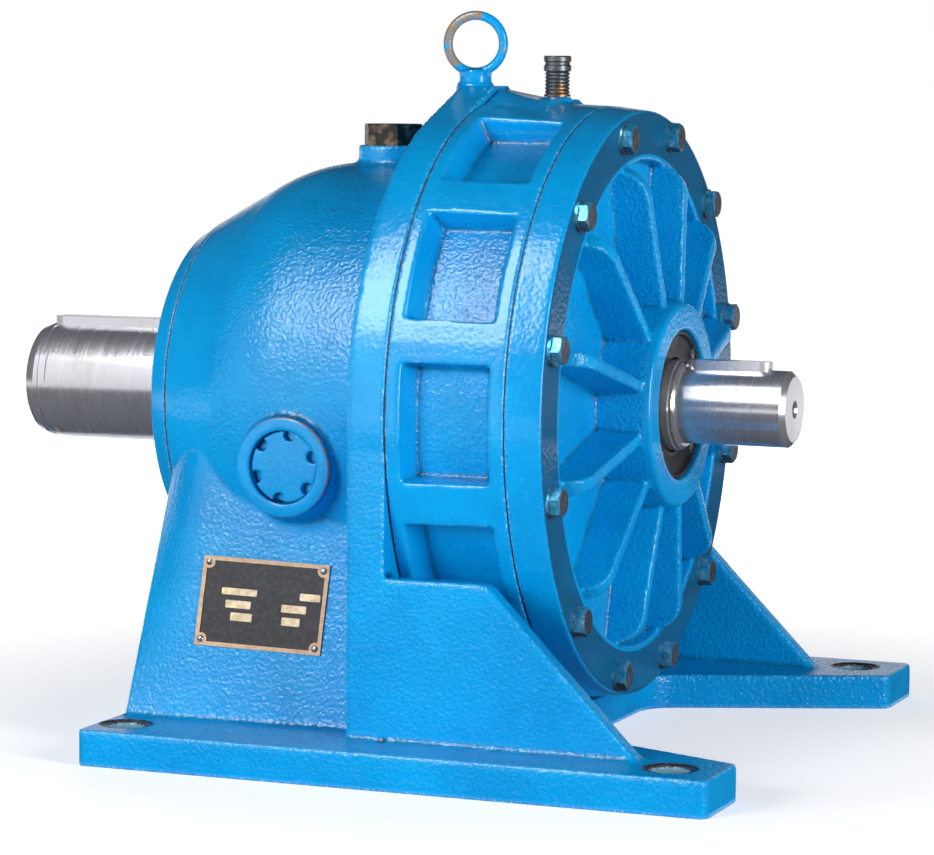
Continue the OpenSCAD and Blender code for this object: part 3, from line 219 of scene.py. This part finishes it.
def edge_shade_glint_and_wear(g, col):
    """Painted shade in the corners, painted glints along the edges and bare primer on the sharpest of them."""
    point = g.node("ShaderNodeNewGeometry").outputs["Pointiness"]
    # Painted shade: concave corners darkened, in patches.
    corner = g.math("MULTIPLY", g.ramp(point, 0.492, 0.445), g.ramp(g.noise(60, 3), 0.3, 0.55, 0.35, 0.95))
    col = g.mix(corner, col, CORNER_SHADE)
    convex = g.ramp(point, 0.525, 0.575)
    # Painted glints: pale specks along convex edges.
    glint_speck = g.math("MULTIPLY", convex, g.ramp(g.noise(520, 3, 0.65), 0.53, 0.60, 0, 0.75))
    col = g.mix(glint_speck, col, EDGE_GLINT)
    bare = g.math("MULTIPLY", g.ramp(point, 0.58, 0.66), g.ramp(g.noise(70, 4, 0.7), 0.60, 0.68, 0, 0.8))
    return g.mix(bare, col, PRIMER)


def paint(name, peel=1.0, grit=None, zones=None, edges=True):
    """Gloss paint over a sand casting: orange peel, painted shade in the corners, painted glints along the edges and
    worn edges.
    grit(g) gives where the casting's coarse skin shows through, zones(g, colour) retouches places.
    edges is off on plain CAD meshes, which are too coarse to tell an edge from a face."""
    g = Finish(name)
    tone = g.ramp(g.noise(14, 3, 0.6), 0.35, 0.65)
    col = g.mix(tone, BLUE_DEEP, BLUE)
    col = g.mix(g.ramp(g.noise(420, 3, 0.6), 0.60, 0.72, 0, 0.30), col, FLECK)
    if zones:
        col = zones(g, col)
    if edges:
        col = edge_shade_glint_and_wear(g, col)
    wave = g.bump(g.noise(45, 2, 0.5), 0.0010, 0.25 * peel)
    skin = g.bump(g.noise(320, 1, 0.5), 0.0005, 0.45 * peel, wave)
    if grit:
        coarse = g.math("MULTIPLY", g.noise(380, 2, 0.45), grit(g))
        skin = g.bump(coarse, 0.0010, 0.90, skin)
    g.set(Base_Color=col, Roughness=g.ramp(g.noise(240, 3), 0.3, 0.7, 0.13, 0.23), Normal=skin,
          Specular_IOR_Level=0.40)
    return g.mat


def bolt_paint(name):
    """Painted hexagon heads: blue flanks rubbed on their edges, dull worn ends, dark brown on the flanks that face
    down.
    """
    g = Finish(name)
    patch = g.ramp(g.noise(150, 4, 0.65), 0.42, 0.60)
    flank = g.mix(patch, (0.004, 0.27, 0.52), (0.10, 0.42, 0.62))
    flank = g.mix(g.ramp(g.noise(260, 3, 0.7), 0.60, 0.68, 0, 0.8), flank, (0.55, 0.72, 0.80))
    # Flanks that face down turn dark brown.
    flank = g.mix(g.ramp(g.facing(2), -0.2, -0.8, 0, 0.85), flank, (0.05, 0.032, 0.022))
    end = g.mix(g.ramp(g.noise(190, 4, 0.65), 0.40, 0.62), (0.035, 0.070, 0.115), (0.125, 0.105, 0.10))
    front = g.ramp(g.facing(0), 0.80, 0.92)
    g.set(Base_Color=g.mix(front, flank, end), Roughness=g.ramp(g.noise(400, 3), 0.3, 0.7, 0.22, 0.42),
          Normal=g.bump(g.noise(500, 3), 0.0004, 0.5), Metallic=0.35, Specular_IOR_Level=0.5)
    return g.mat


def plate_metal(name, normal, level):
    """Nameplate: tan brass border standing over a black enamel ground."""
    g = Finish(name)
    brass = g.mix(g.ramp(g.noise(220, 4, 0.7), 0.4, 0.65), (0.66, 0.45, 0.29), (0.50, 0.30, 0.16))
    field = g.mix(g.ramp(g.noise(300, 3), 0.4, 0.7), (0.018, 0.018, 0.022), (0.034, 0.034, 0.042))
    top = g.ramp(g.along(normal), level - 0.0003, level - 0.0001)
    g.set(Base_Color=g.mix(top, field, brass), Roughness=g.ramp(g.noise(500, 3), 0.3, 0.7, 0.34, 0.5),
          Normal=g.bump(g.noise(900, 2), 0.0001, 0.3), Specular_IOR_Level=0.35)
    return g.mat


def turned_steel(name, rough, rings=900.0, wear=0.25):
    """Bright turned steel, with fine rings across the shaft's length and faint stains."""
    g = Finish(name)
    ring = g.noise(1.0, 4, 0.65, stretch=(rings, 4, 4))
    col = g.mix(g.ramp(ring, 0.3, 0.7), tuple(c * 0.95 for c in STEEL), STEEL)
    col = g.mix(g.ramp(g.noise(38, 4, 0.65), 0.52, 0.72, 0, wear), col, STAIN)
    g.set(Base_Color=col, Roughness=g.ramp(ring, 0.3, 0.7, rough - 0.06, rough + 0.08),
          Normal=g.bump(ring, 0.000004, 0.5), Metallic=0.80, Anisotropic=0.3)
    return g.mat


def worn_metal(name, dark, bright, rough, amount=(0.45, 0.6), metallic=0.9, scale=90.0):
    """Dark finish rubbed through to brighter metal in patches."""
    g = Finish(name)
    patch = g.ramp(g.noise(scale, 4, 0.65), amount[0], amount[1])
    g.set(Base_Color=g.mix(patch, dark, bright),
          Roughness=g.ramp(g.noise(scale * 3, 3), 0.3, 0.7, rough - 0.1, rough + 0.12),
          Normal=g.bump(g.noise(scale * 6, 3), 0.0003, 0.4), Metallic=metallic)
    return g.mat


def soft_black(name, rough, tone=(0.018, 0.018, 0.02)):
    """Rubber, fibre or enamel, slightly uneven."""
    g = Finish(name)
    g.set(Base_Color=g.mix(g.ramp(g.noise(160, 3), 0.35, 0.7), tone, tuple(c * 2.2 for c in tone)),
          Roughness=g.ramp(g.noise(300, 2), 0.3, 0.7, rough - 0.08, rough + 0.1),
          Normal=g.bump(g.noise(700, 2), 0.0002, 0.3))
    return g.mat


def dress(obj, mat):
    """One material all over."""
    obj.data.materials.clear()
    obj.data.materials.append(mat)


# ---------- castings ----------

def neighbours_mean(co, edges, n):
    """The mean place of each point's neighbours along the edges."""
    total = np.empty_like(co)
    for k in range(3):
        total[:, k] = (np.bincount(edges[:, 0], co[edges[:, 1], k], n)
                       + np.bincount(edges[:, 1], co[edges[:, 0], k], n))
    degree = np.bincount(edges.ravel(), minlength=n)
    return total / np.maximum(degree, 1)[:, None]


def casting(node, name, mat, voxel, passes, hold=None):
    """A cast copy of a CAD node: remeshed, and its edges and corners rounded as a mould leaves them.
    hold gives each point's share of the rounding: 1 as cast, 0 machined back to the CAD surface."""
    raw = link(name + "_raw", nodes[node].data.copy())
    mod = raw.modifiers.new("Remesh", "REMESH")
    mod.mode = "VOXEL"
    mod.voxel_size = voxel * 1.0
    mod.adaptivity = 0
    mesh = bpy.data.meshes.new_from_object(raw.evaluated_get(bpy.context.evaluated_depsgraph_get()))
    bpy.data.objects.remove(raw)
    n = len(mesh.vertices)
    co = np.empty(n * 3, np.float32)
    mesh.vertices.foreach_get("co", co)
    co = co.reshape(n, 3).astype(np.float64)
    edges = np.empty(len(mesh.edges) * 2, np.int32)
    mesh.edges.foreach_get("vertices", edges)
    edges = edges.reshape(-1, 2)
    share = np.ones(n) if hold is None else np.clip(hold(co), 0, 1)
    for _ in range(passes):
        co += 0.5 * (neighbours_mean(co, edges, n) - co)
    source = nodes[node].data
    tree = BVHTree.FromPolygons([v.co for v in source.vertices], [p.vertices for p in source.polygons])
    for i in np.nonzero(share < 0.99)[0]:
        surface = tree.find_nearest(co[i])[0]
        if surface is not None:
            co[i] = share[i] * co[i] + (1 - share[i]) * np.array(surface)
    mesh.vertices.foreach_set("co", co.astype(np.float32).ravel())
    mesh.polygons.foreach_set("use_smooth", [True] * len(mesh.polygons))
    mesh.update()
    obj = link(name, mesh)
    dress(obj, mat)
    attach(obj, "housing")
    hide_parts(node)


# ---------- stage ----------

FLOOR_HALF = 9.0
DARK = (0.03, 0.035, 0.045)
WHITE = (1, 1, 1)


def background_rays(g):
    """1 for rays that show the background: the camera's, reflected and refracted ones."""
    path = g.node("ShaderNodeLightPath")
    seen = g.math("MAXIMUM", path.outputs["Is Camera Ray"], path.outputs["Is Glossy Ray"])
    return g.math("MAXIMUM", seen, path.outputs["Is Transmission Ray"])


def add_floor():
    """A pale floor that keeps the shadow and turns white towards the backdrop."""
    mesh = bpy.data.meshes.new("Floor")
    s = FLOOR_HALF
    mesh.from_pydata([(-s, -s, 0), (s, -s, 0), (s, s, 0), (-s, s, 0)], [], [(0, 1, 2, 3)])
    floor = link("Floor", mesh)
    g = Finish("floor")
    diffuse = g.node("ShaderNodeBsdfDiffuse", Color=(0.84, 0.84, 0.85, 1))
    glow = g.node("ShaderNodeEmission", Color=(1, 1, 1, 1))
    far = g.node("ShaderNodeVectorMath", operation="LENGTH")
    g.join(g.coords, far.inputs[0])
    level = g.ramp(far.outputs["Value"], 0.35, 0.95, 0.46, 1.0)
    g.join(g.math("MULTIPLY", background_rays(g), level), glow.inputs["Strength"])
    both = g.node("ShaderNodeAddShader")
    g.join(diffuse.outputs[0], both.inputs[0])
    g.join(glow.outputs[0], both.inputs[1])
    g.end_with(both)
    dress(floor, g.mat)


def add_world(level, overhead):
    """White behind the object; as light, level from the sides and below, fading to overhead above."""
    world = bpy.data.worlds.new("World")
    bpy.context.scene.world = world
    world.use_nodes = True
    world.cycles.sampling_method = "NONE"
    g = Graph(world.node_tree)
    up = g.axis(2, g.node("ShaderNodeTexCoord").outputs["Generated"])
    pick = g.node("ShaderNodeMapRange")
    g.join(background_rays(g), pick.inputs["Value"])
    g.join(g.ramp(up, 0.15, 0.75, level, overhead), pick.inputs["To Min"])
    background = g.node("ShaderNodeBackground", Color=(1, 1, 1, 1))
    g.join(pick.outputs[0], background.inputs["Strength"])
    g.join(background.outputs[0], g.node("ShaderNodeOutputWorld").inputs["Surface"])


def add_flag(name, profile, arc, tone, strength=1.0):
    """A studio flag or reflector that only reflections see.
    A profile of (radius, z) is swept between two azimuths, counted from the front towards the input end."""
    steps, rows = 48, len(profile)
    pts, faces = [], []
    for i in range(steps + 1):
        a = math.radians(arc[0] + (arc[1] - arc[0]) * i / steps)
        pts += [(r * math.sin(a), -r * math.cos(a), z) for r, z in profile]
        if i:
            k = i * rows
            faces += [(k - rows + j, k + j, k + j + 1, k - rows + j + 1) for j in range(rows - 1)]
    mesh = bpy.data.meshes.new(name)
    mesh.from_pydata(pts, [], faces)
    flag = link(name, mesh)
    g = Finish(name.lower())
    g.end_with(g.node("ShaderNodeEmission", Color=(*tone, 1), Strength=strength))
    dress(flag, g.mat)
    flag.visible_camera = flag.visible_diffuse = flag.visible_shadow = False
    flag.visible_transmission = flag.visible_volume_scatter = False


def add_light(name, at, towards, size, power, glossy=True):
    """An area lamp, which reflections see only where glossy says so."""
    data = bpy.data.lights.new(name, "AREA")
    data.shape = "RECTANGLE"
    data.size, data.size_y = size
    data.energy = power
    obj = link(name, data)
    obj.location = at
    obj.rotation_euler = (Vector(towards) - Vector(at)).to_track_quat("-Z", "Y").to_euler()
    obj.visible_glossy = glossy
    obj.visible_camera = False


add_camera()
add_floor()
add_world(0.38, 0.04)
add_light("Key", (-1.0, -2.3, 0.78), (-0.05, 0, 0.25), (1.1, 1.1), 44, glossy=False)
add_light("Right", (2.3, -1.0, 0.8), (0.1, 0, 0.25), (0.7, 1.4), 46)
add_light("Back", (-1.3, 2.3, 0.5), (0, 0, 0.25), (1.4, 0.8), 26, glossy=False)
add_flag("Flag_low", ((0.05, 0.003), (0.50, 0.003), (1.25, 0.02), (1.25, 0.10)), (-110, 175), DARK)
add_flag("Flag_wall", ((4.2, 0.0), (4.2, 4.0)), (-115, 175), DARK)
add_flag("Flag_rear", ((4.2, 1.1), (4.2, 4.0)), (175, 245), DARK)
add_flag("Flag_roof", ((4.2, 4.0), (0.05, 4.6)), (-180, 180), DARK)
add_flag("Softbox", ((2.35, 1.32), (1.85, 2.15), (1.25, 2.65)), (-38, -7), WHITE, 14.0)
add_flag("Reflector", ((1.6, 0.14), (1.6, 0.34)), (-38, -7), WHITE, 1.3)
add_flag("Shaft_panel", ((0.80, 0.14), (0.80, 0.74)), (-64, -34), WHITE, 1.0)


# ---------- places taken from the CAD frame ----------

def lo(node, i):
    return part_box(node)[0][i]


def hi(node, i):
    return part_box(node)[1][i]


def centre(node):
    a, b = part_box(node)
    return [(p + q) / 2 for p, q in zip(a, b)]


# The typed lengths are those of the source: bores, bosses, spot faces and the cover's recess.
FLANGE_X = lo("casing_gasket", 0)
FLANGE_DEPTH = 0.027
CONE_X = (-0.176, -0.171)
PEDESTAL_Z = (0.16, 0.24)
END_X = hi("cap_gasket", 0)
RIM_DEPTH = 0.026
RIM_X = hi("cover_gasket", 0) + RIM_DEPTH
HUB_X = hi("input_cover", 0)
HUB_BORE_R = 0.0775
RECESS_R = 0.183
RING_X = (lo("pin_gear_housing", 0), hi("pin_gear_housing", 0))
RING_R = (hi("pin_gear_housing", 1) - lo("pin_gear_housing", 1)) / 2
RING_BORE_R = 0.19
END_BORE_R = 0.115
SIGHT = centre("sight_glass_plug")
SIGHT[1] = lo("sight_glass_plug", 1)
SIGHT_FACE = -0.182
SIGHT_BOSS_R = 0.038
FILLER = centre("filler_plug")
FILLER[2] = hi("filler_plug", 2) - 0.016
FILLER_BOSS_R = 0.027
EYE_X = centre("eyebolt")[0]
FOOT_BOLTS = (0.205, 0.230)
HOLE_R, SPOT_R = 0.013, 0.019
MACHINED = 0.004


def plate_frame():
    """The nameplate's centre, its own axes (along, up, out) and the level of its top."""
    pts = np.array([v.co for v in nodes["nameplate"].data.vertices])
    mid = (pts.max(0) + pts.min(0)) / 2
    axes = np.linalg.svd(pts - pts.mean(0), full_matrices=False)[2]
    out = axes[2] * -np.sign(axes[2][1])
    along = axes[0] * np.sign(axes[0][0])
    return mid, along, np.cross(out, along), out, float((pts @ out).max())


PLATE = plate_frame()


# ---------- paint by place ----------

def base_zones(g, col):
    """Bare, rusty spot faces round the foot bolt holes, and a painted light on the holes' walls: pale blue-grey, as
    if lit.
    """
    d = g.hypot(*(g.math("SUBTRACT", g.math("ABSOLUTE", g.axis(i)), FOOT_BOLTS[i]) for i in (0, 1)))
    rust = g.mix(g.ramp(g.noise(260, 3, 0.7), 0.45, 0.65), (0.018, 0.014, 0.013), (0.085, 0.052, 0.032))
    col = g.mix(g.ramp(d, SPOT_R + 0.0012, SPOT_R + 0.0002), col, rust)
    # Painted light: the hole walls pale blue-grey, as if lit.
    return g.mix(g.ramp(d, HOLE_R + 0.0006, HOLE_R), col, (0.16, 0.34, 0.46))


def base_grit(g):
    """Coarse skin on the pedestal and the straight of the bell, none on the turned cone and flange."""
    low = g.ramp(g.axis(2), PEDESTAL_Z[1], PEDESTAL_Z[0])
    before_flange = g.ramp(g.axis(0), FLANGE_X - FLANGE_DEPTH, FLANGE_X - FLANGE_DEPTH - 0.003)
    straight = g.math("MULTIPLY", g.ramp(g.axis(0), *CONE_X), before_flange)
    return g.math("MAXIMUM", low, g.math("MULTIPLY", straight, 0.9))


def ring_grit(g):
    """Coarse skin on the pocket floors, little on the lands between them."""
    return g.ramp(g.off_axis(), RING_R - 0.010, RING_R - 0.013, 0.12, 1.0)


def cover_rim_shade(g, col):
    """The rim's machined face is painted a darker blue: a painted shade."""
    rim = g.ramp(g.off_axis(), RECESS_R - 0.0005, RECESS_R + 0.0005)
    # Painted shade on the rim's face that looks along the axis.
    face = g.math("MULTIPLY", rim, g.ramp(g.facing(0), 0.75, 0.9))
    return g.mix(g.math("MULTIPLY", face, 0.9), col, RIM_SHADE_BLUE)


def cover_grit(g):
    """Coarse skin in the recess, none on the rim and the hub's face."""
    recess = g.ramp(g.off_axis(), RECESS_R, RECESS_R - 0.003)
    return g.math("MULTIPLY", recess, g.ramp(g.axis(0), HUB_X - 0.003, HUB_X - 0.006))


def eye_zones(g, col):
    """Paint rubbed off the lifting eye's ring, most towards the output end."""
    side = g.ramp(g.axis(0), EYE_X + 0.012, EYE_X - 0.016, -0.10, 0.14)
    high = g.ramp(g.axis(2), 0.492, 0.500, -0.3, 0.0)
    bare = g.math("ADD", g.math("ADD", g.noise(75, 4, 0.6), side), high)
    steel = g.mix(g.ramp(g.noise(210, 3, 0.7), 0.4, 0.6), (0.30, 0.21, 0.13), (0.20, 0.24, 0.27))
    return g.mix(g.ramp(bare, 0.50, 0.55), col, steel)


FINISHES = {
    "ring": paint("paint_ring", grit=ring_grit),
    "bell": paint("paint_bell", grit=base_grit, zones=base_zones),
    "cover": paint("paint_cover", grit=cover_grit, zones=cover_rim_shade),
    "cap": paint("paint_cap", 0.8),
    "fitting": paint("paint_fitting", 0.6, edges=False),
    "eye": paint("paint_eye", 0.5, zones=eye_zones, edges=False),
    "shaft": turned_steel("shaft_steel", 0.22),
    "input": turned_steel("input_steel", 0.22, 1400.0),
    "polished": turned_steel("polished_steel", 0.14, 1800.0, wear=0.1),
    "bearing": turned_steel("bearing_steel", 0.2, 600.0, wear=0.05),
    "bolt": bolt_paint("bolt_paint"),
    "dark": worn_metal("dark_metal", (0.035, 0.035, 0.035), (0.28, 0.2, 0.11), 0.42, (0.5, 0.7)),
    "pipe": worn_metal("pipe_metal", (0.16, 0.17, 0.18), (0.36, 0.2, 0.09), 0.4, (0.5, 0.66), scale=60.0),
    "plate": plate_metal("plate_metal", tuple(PLATE[3]), PLATE[4]),
    "brass": worn_metal("cage_metal", (0.30, 0.22, 0.11), (0.62, 0.48, 0.26), 0.36, (0.35, 0.65)),
    "screw": worn_metal("screw_metal", (0.4, 0.4, 0.4), (0.75, 0.75, 0.74), 0.3),
    "rubber": soft_black("rubber", 0.5),
    "gasket": soft_black("gasket", 0.7, (0.02, 0.022, 0.025)),
    "black": soft_black("black_cover", 0.35),
}
SLOT_FINISH = {
    "blue_paint": "fitting", "painted_bolt": "bolt", "gasket": "gasket", "dark_steel": "dark",
    "seal_rubber": "rubber", "black_cover": "black", "plate_brass": "brass", "bright_steel": "screw",
    "bearing_steel": "bearing", "shaft_steel": "shaft", "polished_steel": "polished", "cage_brass": "brass",
}
for part in frame["record"]["subparts"]:
    dress(nodes[part["node"]], FINISHES[SLOT_FINISH[part["material_slot"]]])
for node, finish in (("input_shaft", "input"), ("oil_pipe", "pipe"), ("eyebolt", "eye"), ("nameplate", "plate")):
    dress(nodes[node], FINISHES[finish])


# ---------- castings: what stays machined, and their pieces ----------

def radius(co):
    """Distance of points from the shaft axis."""
    return np.hypot(co[:, 1], co[:, 2] - AXIS_Z)


def near(value, at, width=MACHINED):
    """0 at a machined face, rising to 1 where the casting's own skin begins."""
    return np.clip((np.abs(value - at) - width * 0.6) / (width * 0.4), 0, 1)


def hold_base(co):
    """The two ends, the end bore, the spot faces, the bosses' faces and the underside are machined."""
    x, y, z = co.T
    share = np.minimum(near(x, FLANGE_X), near(x, END_X))
    share = np.where(radius(co) < END_BORE_R, 0.2, share)
    for sx in (-1, 1):
        for sy in (-1, 1):
            d = np.hypot(x - sx * FOOT_BOLTS[0], y - sy * FOOT_BOLTS[1])
            share = np.minimum(share, np.clip((d - SPOT_R - 0.002) / MACHINED, 0, 1))
    boss = (np.hypot(x - SIGHT[0], z - SIGHT[2]) < SIGHT_BOSS_R) & (y < SIGHT[1] + 0.02)
    share = np.where(boss, np.minimum(share, 0.35), share)
    boss = (np.hypot(x - FILLER[0], y) < FILLER_BOSS_R) & (z > FILLER[2] - 0.006)
    share = np.where(boss, np.minimum(share, 0.3), share)
    return np.where(z < 0.002, 0.0, share)


def hold_ring(co):
    """The two joint faces and the bore are machined."""
    share = np.minimum(near(co[:, 0], RING_X[0]), near(co[:, 0], RING_X[1]))
    return np.where(radius(co) < RING_BORE_R, 0.3, share)


def hold_cover(co):
    """The joint face, the rim and the hub's bore are machined."""
    x, r = co[:, 0], radius(co)
    share = near(x, RIM_X - RIM_DEPTH)
    share = np.where((r > RECESS_R - 0.002) & (x > RIM_X - MACHINED), np.minimum(share, 0.15), share)
    return np.where((r < HUB_BORE_R) & (x > HUB_X - MACHINED), 0.0, share)


def hold_cap(co):
    """The joint face is machined."""
    return near(co[:, 0], END_X - 0.001, 0.003)


# ---------- sight glass ring ----------

def turned_piece(name, mat, profile, at, body, steps=96):
    """A ring turned about the y axis through a point, from a closed profile of (radius, out) pairs."""
    bm = bmesh.new()
    rows = []
    for i in range(steps):
        t = 2 * math.pi * i / steps
        rows.append([bm.verts.new((at[0] + r * math.cos(t), at[1] - h, at[2] + r * math.sin(t))) for r, h in profile])
    n = len(profile)
    for a, b in zip(rows, rows[1:] + rows[:1]):
        for k in range(n):
            bm.faces.new((a[k], a[(k + 1) % n], b[(k + 1) % n], b[k]))
    bmesh.ops.recalc_face_normals(bm, faces=bm.faces)
    mesh = bpy.data.meshes.new(name)
    bm.to_mesh(mesh)
    bm.free()
    mesh.polygons.foreach_set("use_smooth", [True] * len(mesh.polygons))
    obj = link(name, mesh)
    dress(obj, mat)
    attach(obj, body)


def sight_zones(g, col):
    """Rust along the ring's outer edge, heaviest at the upper right."""
    dx = g.math("SUBTRACT", g.axis(0), SIGHT[0])
    dz = g.math("SUBTRACT", g.axis(2), SIGHT[2])
    upper_right = g.ramp(g.math("ADD", dx, dz), 0.0, 0.03, 0.1, 0.9)
    edge = g.math("MULTIPLY", g.ramp(g.hypot(dx, dz), 0.0345, 0.0352), upper_right)
    edge = g.math("MULTIPLY", edge, g.ramp(g.noise(170, 3, 0.7), 0.38, 0.52))
    return g.mix(edge, col, (0.42, 0.27, 0.17))


def add_sight_ring():
    """The bead round the sight glass. Its profile is in millimetres, outwards from the boss's face."""
    face = SIGHT_FACE - SIGHT[1]
    profile = [(r / 1000, -face + h / 1000) for r, h in (
        (26.4, -3.0), (26.4, -0.6), (26.8, 0.0), (27.5, 0.35), (28.4, 0.45), (33.6, 0.45), (34.8, 0.25),
        (35.5, -0.3), (35.8, -1.1), (36.4, -4.5), (33.0, -4.8))]
    turned_piece("sight_ring", paint("paint_sight", 0.6, zones=sight_zones, edges=False), profile, SIGHT,
                 "housing")


# ---------- nameplate fields ----------

# Left, right, upper and lower edge of each field, as shares of the plate's width and height.
PLATE_FIELDS = ((0.17, 0.45, 0.34, 0.415), (0.79, 0.95, 0.335, 0.415), (0.21, 0.41, 0.475, 0.56),
                (0.655, 0.85, 0.475, 0.56), (0.26, 0.43, 0.61, 0.70), (0.667, 0.81, 0.615, 0.705))


def add_plate_fields():
    """Blank cream fields with rounded ends in the nameplate's black ground."""
    mid, along, up, out, top = PLATE
    pts = np.array([v.co for v in nodes["nameplate"].data.vertices])
    width, height = np.ptp(pts @ along), np.ptp(pts @ up)
    bm = bmesh.new()
    base, thick, bend = top - 0.00055, 0.00032, 0.0008
    for left, right, upper, lower in PLATE_FIELDS:
        x0, x1 = (left - 0.5) * width, (right - 0.5) * width
        y0, y1 = (0.5 - lower) * height, (0.5 - upper) * height
        rim = []
        for cx, cy, start in ((x1 - bend, y1 - bend, 0), (x0 + bend, y1 - bend, 90),
                              (x0 + bend, y0 + bend, 180), (x1 - bend, y0 + bend, 270)):
            for k in range(4):
                t = math.radians(start + 30 * k)
                rim.append((cx + bend * math.cos(t), cy + bend * math.sin(t)))
        floor, face = ([bm.verts.new(Vector(mid + along * x + up * y + out * (level - mid @ out))) for x, y in rim]
                       for level in (base, base + thick))
        n = len(rim)
        for k in range(n):
            bm.faces.new((floor[k], floor[(k + 1) % n], face[(k + 1) % n], face[k]))
        bm.faces.new(face)
        bm.faces.new(floor[::-1])
    mesh = bpy.data.meshes.new("plate_fields")
    bm.to_mesh(mesh)
    bm.free()
    obj = link("plate_fields", mesh)
    dress(obj, worn_metal("field_metal", (0.50, 0.36, 0.20), (0.78, 0.64, 0.42), 0.4, (0.35, 0.6), 0.1, 160.0))
    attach(obj, "housing")


casting("base_casing", "cast_base", FINISHES["bell"], 0.0020, 3, hold_base)
casting("pin_gear_housing", "cast_ring", FINISHES["ring"], 0.0016, 2, hold_ring)
casting("input_cover", "cast_cover", FINISHES["cover"], 0.0014, 3, hold_cover)
casting("output_end_cap", "cast_cap", FINISHES["cap"], 0.0014, 2, hold_cap)
casting("sight_glass_plug", "cast_sight_plug", FINISHES["cap"], 0.0007, 2)
add_sight_ring()
add_plate_fields()
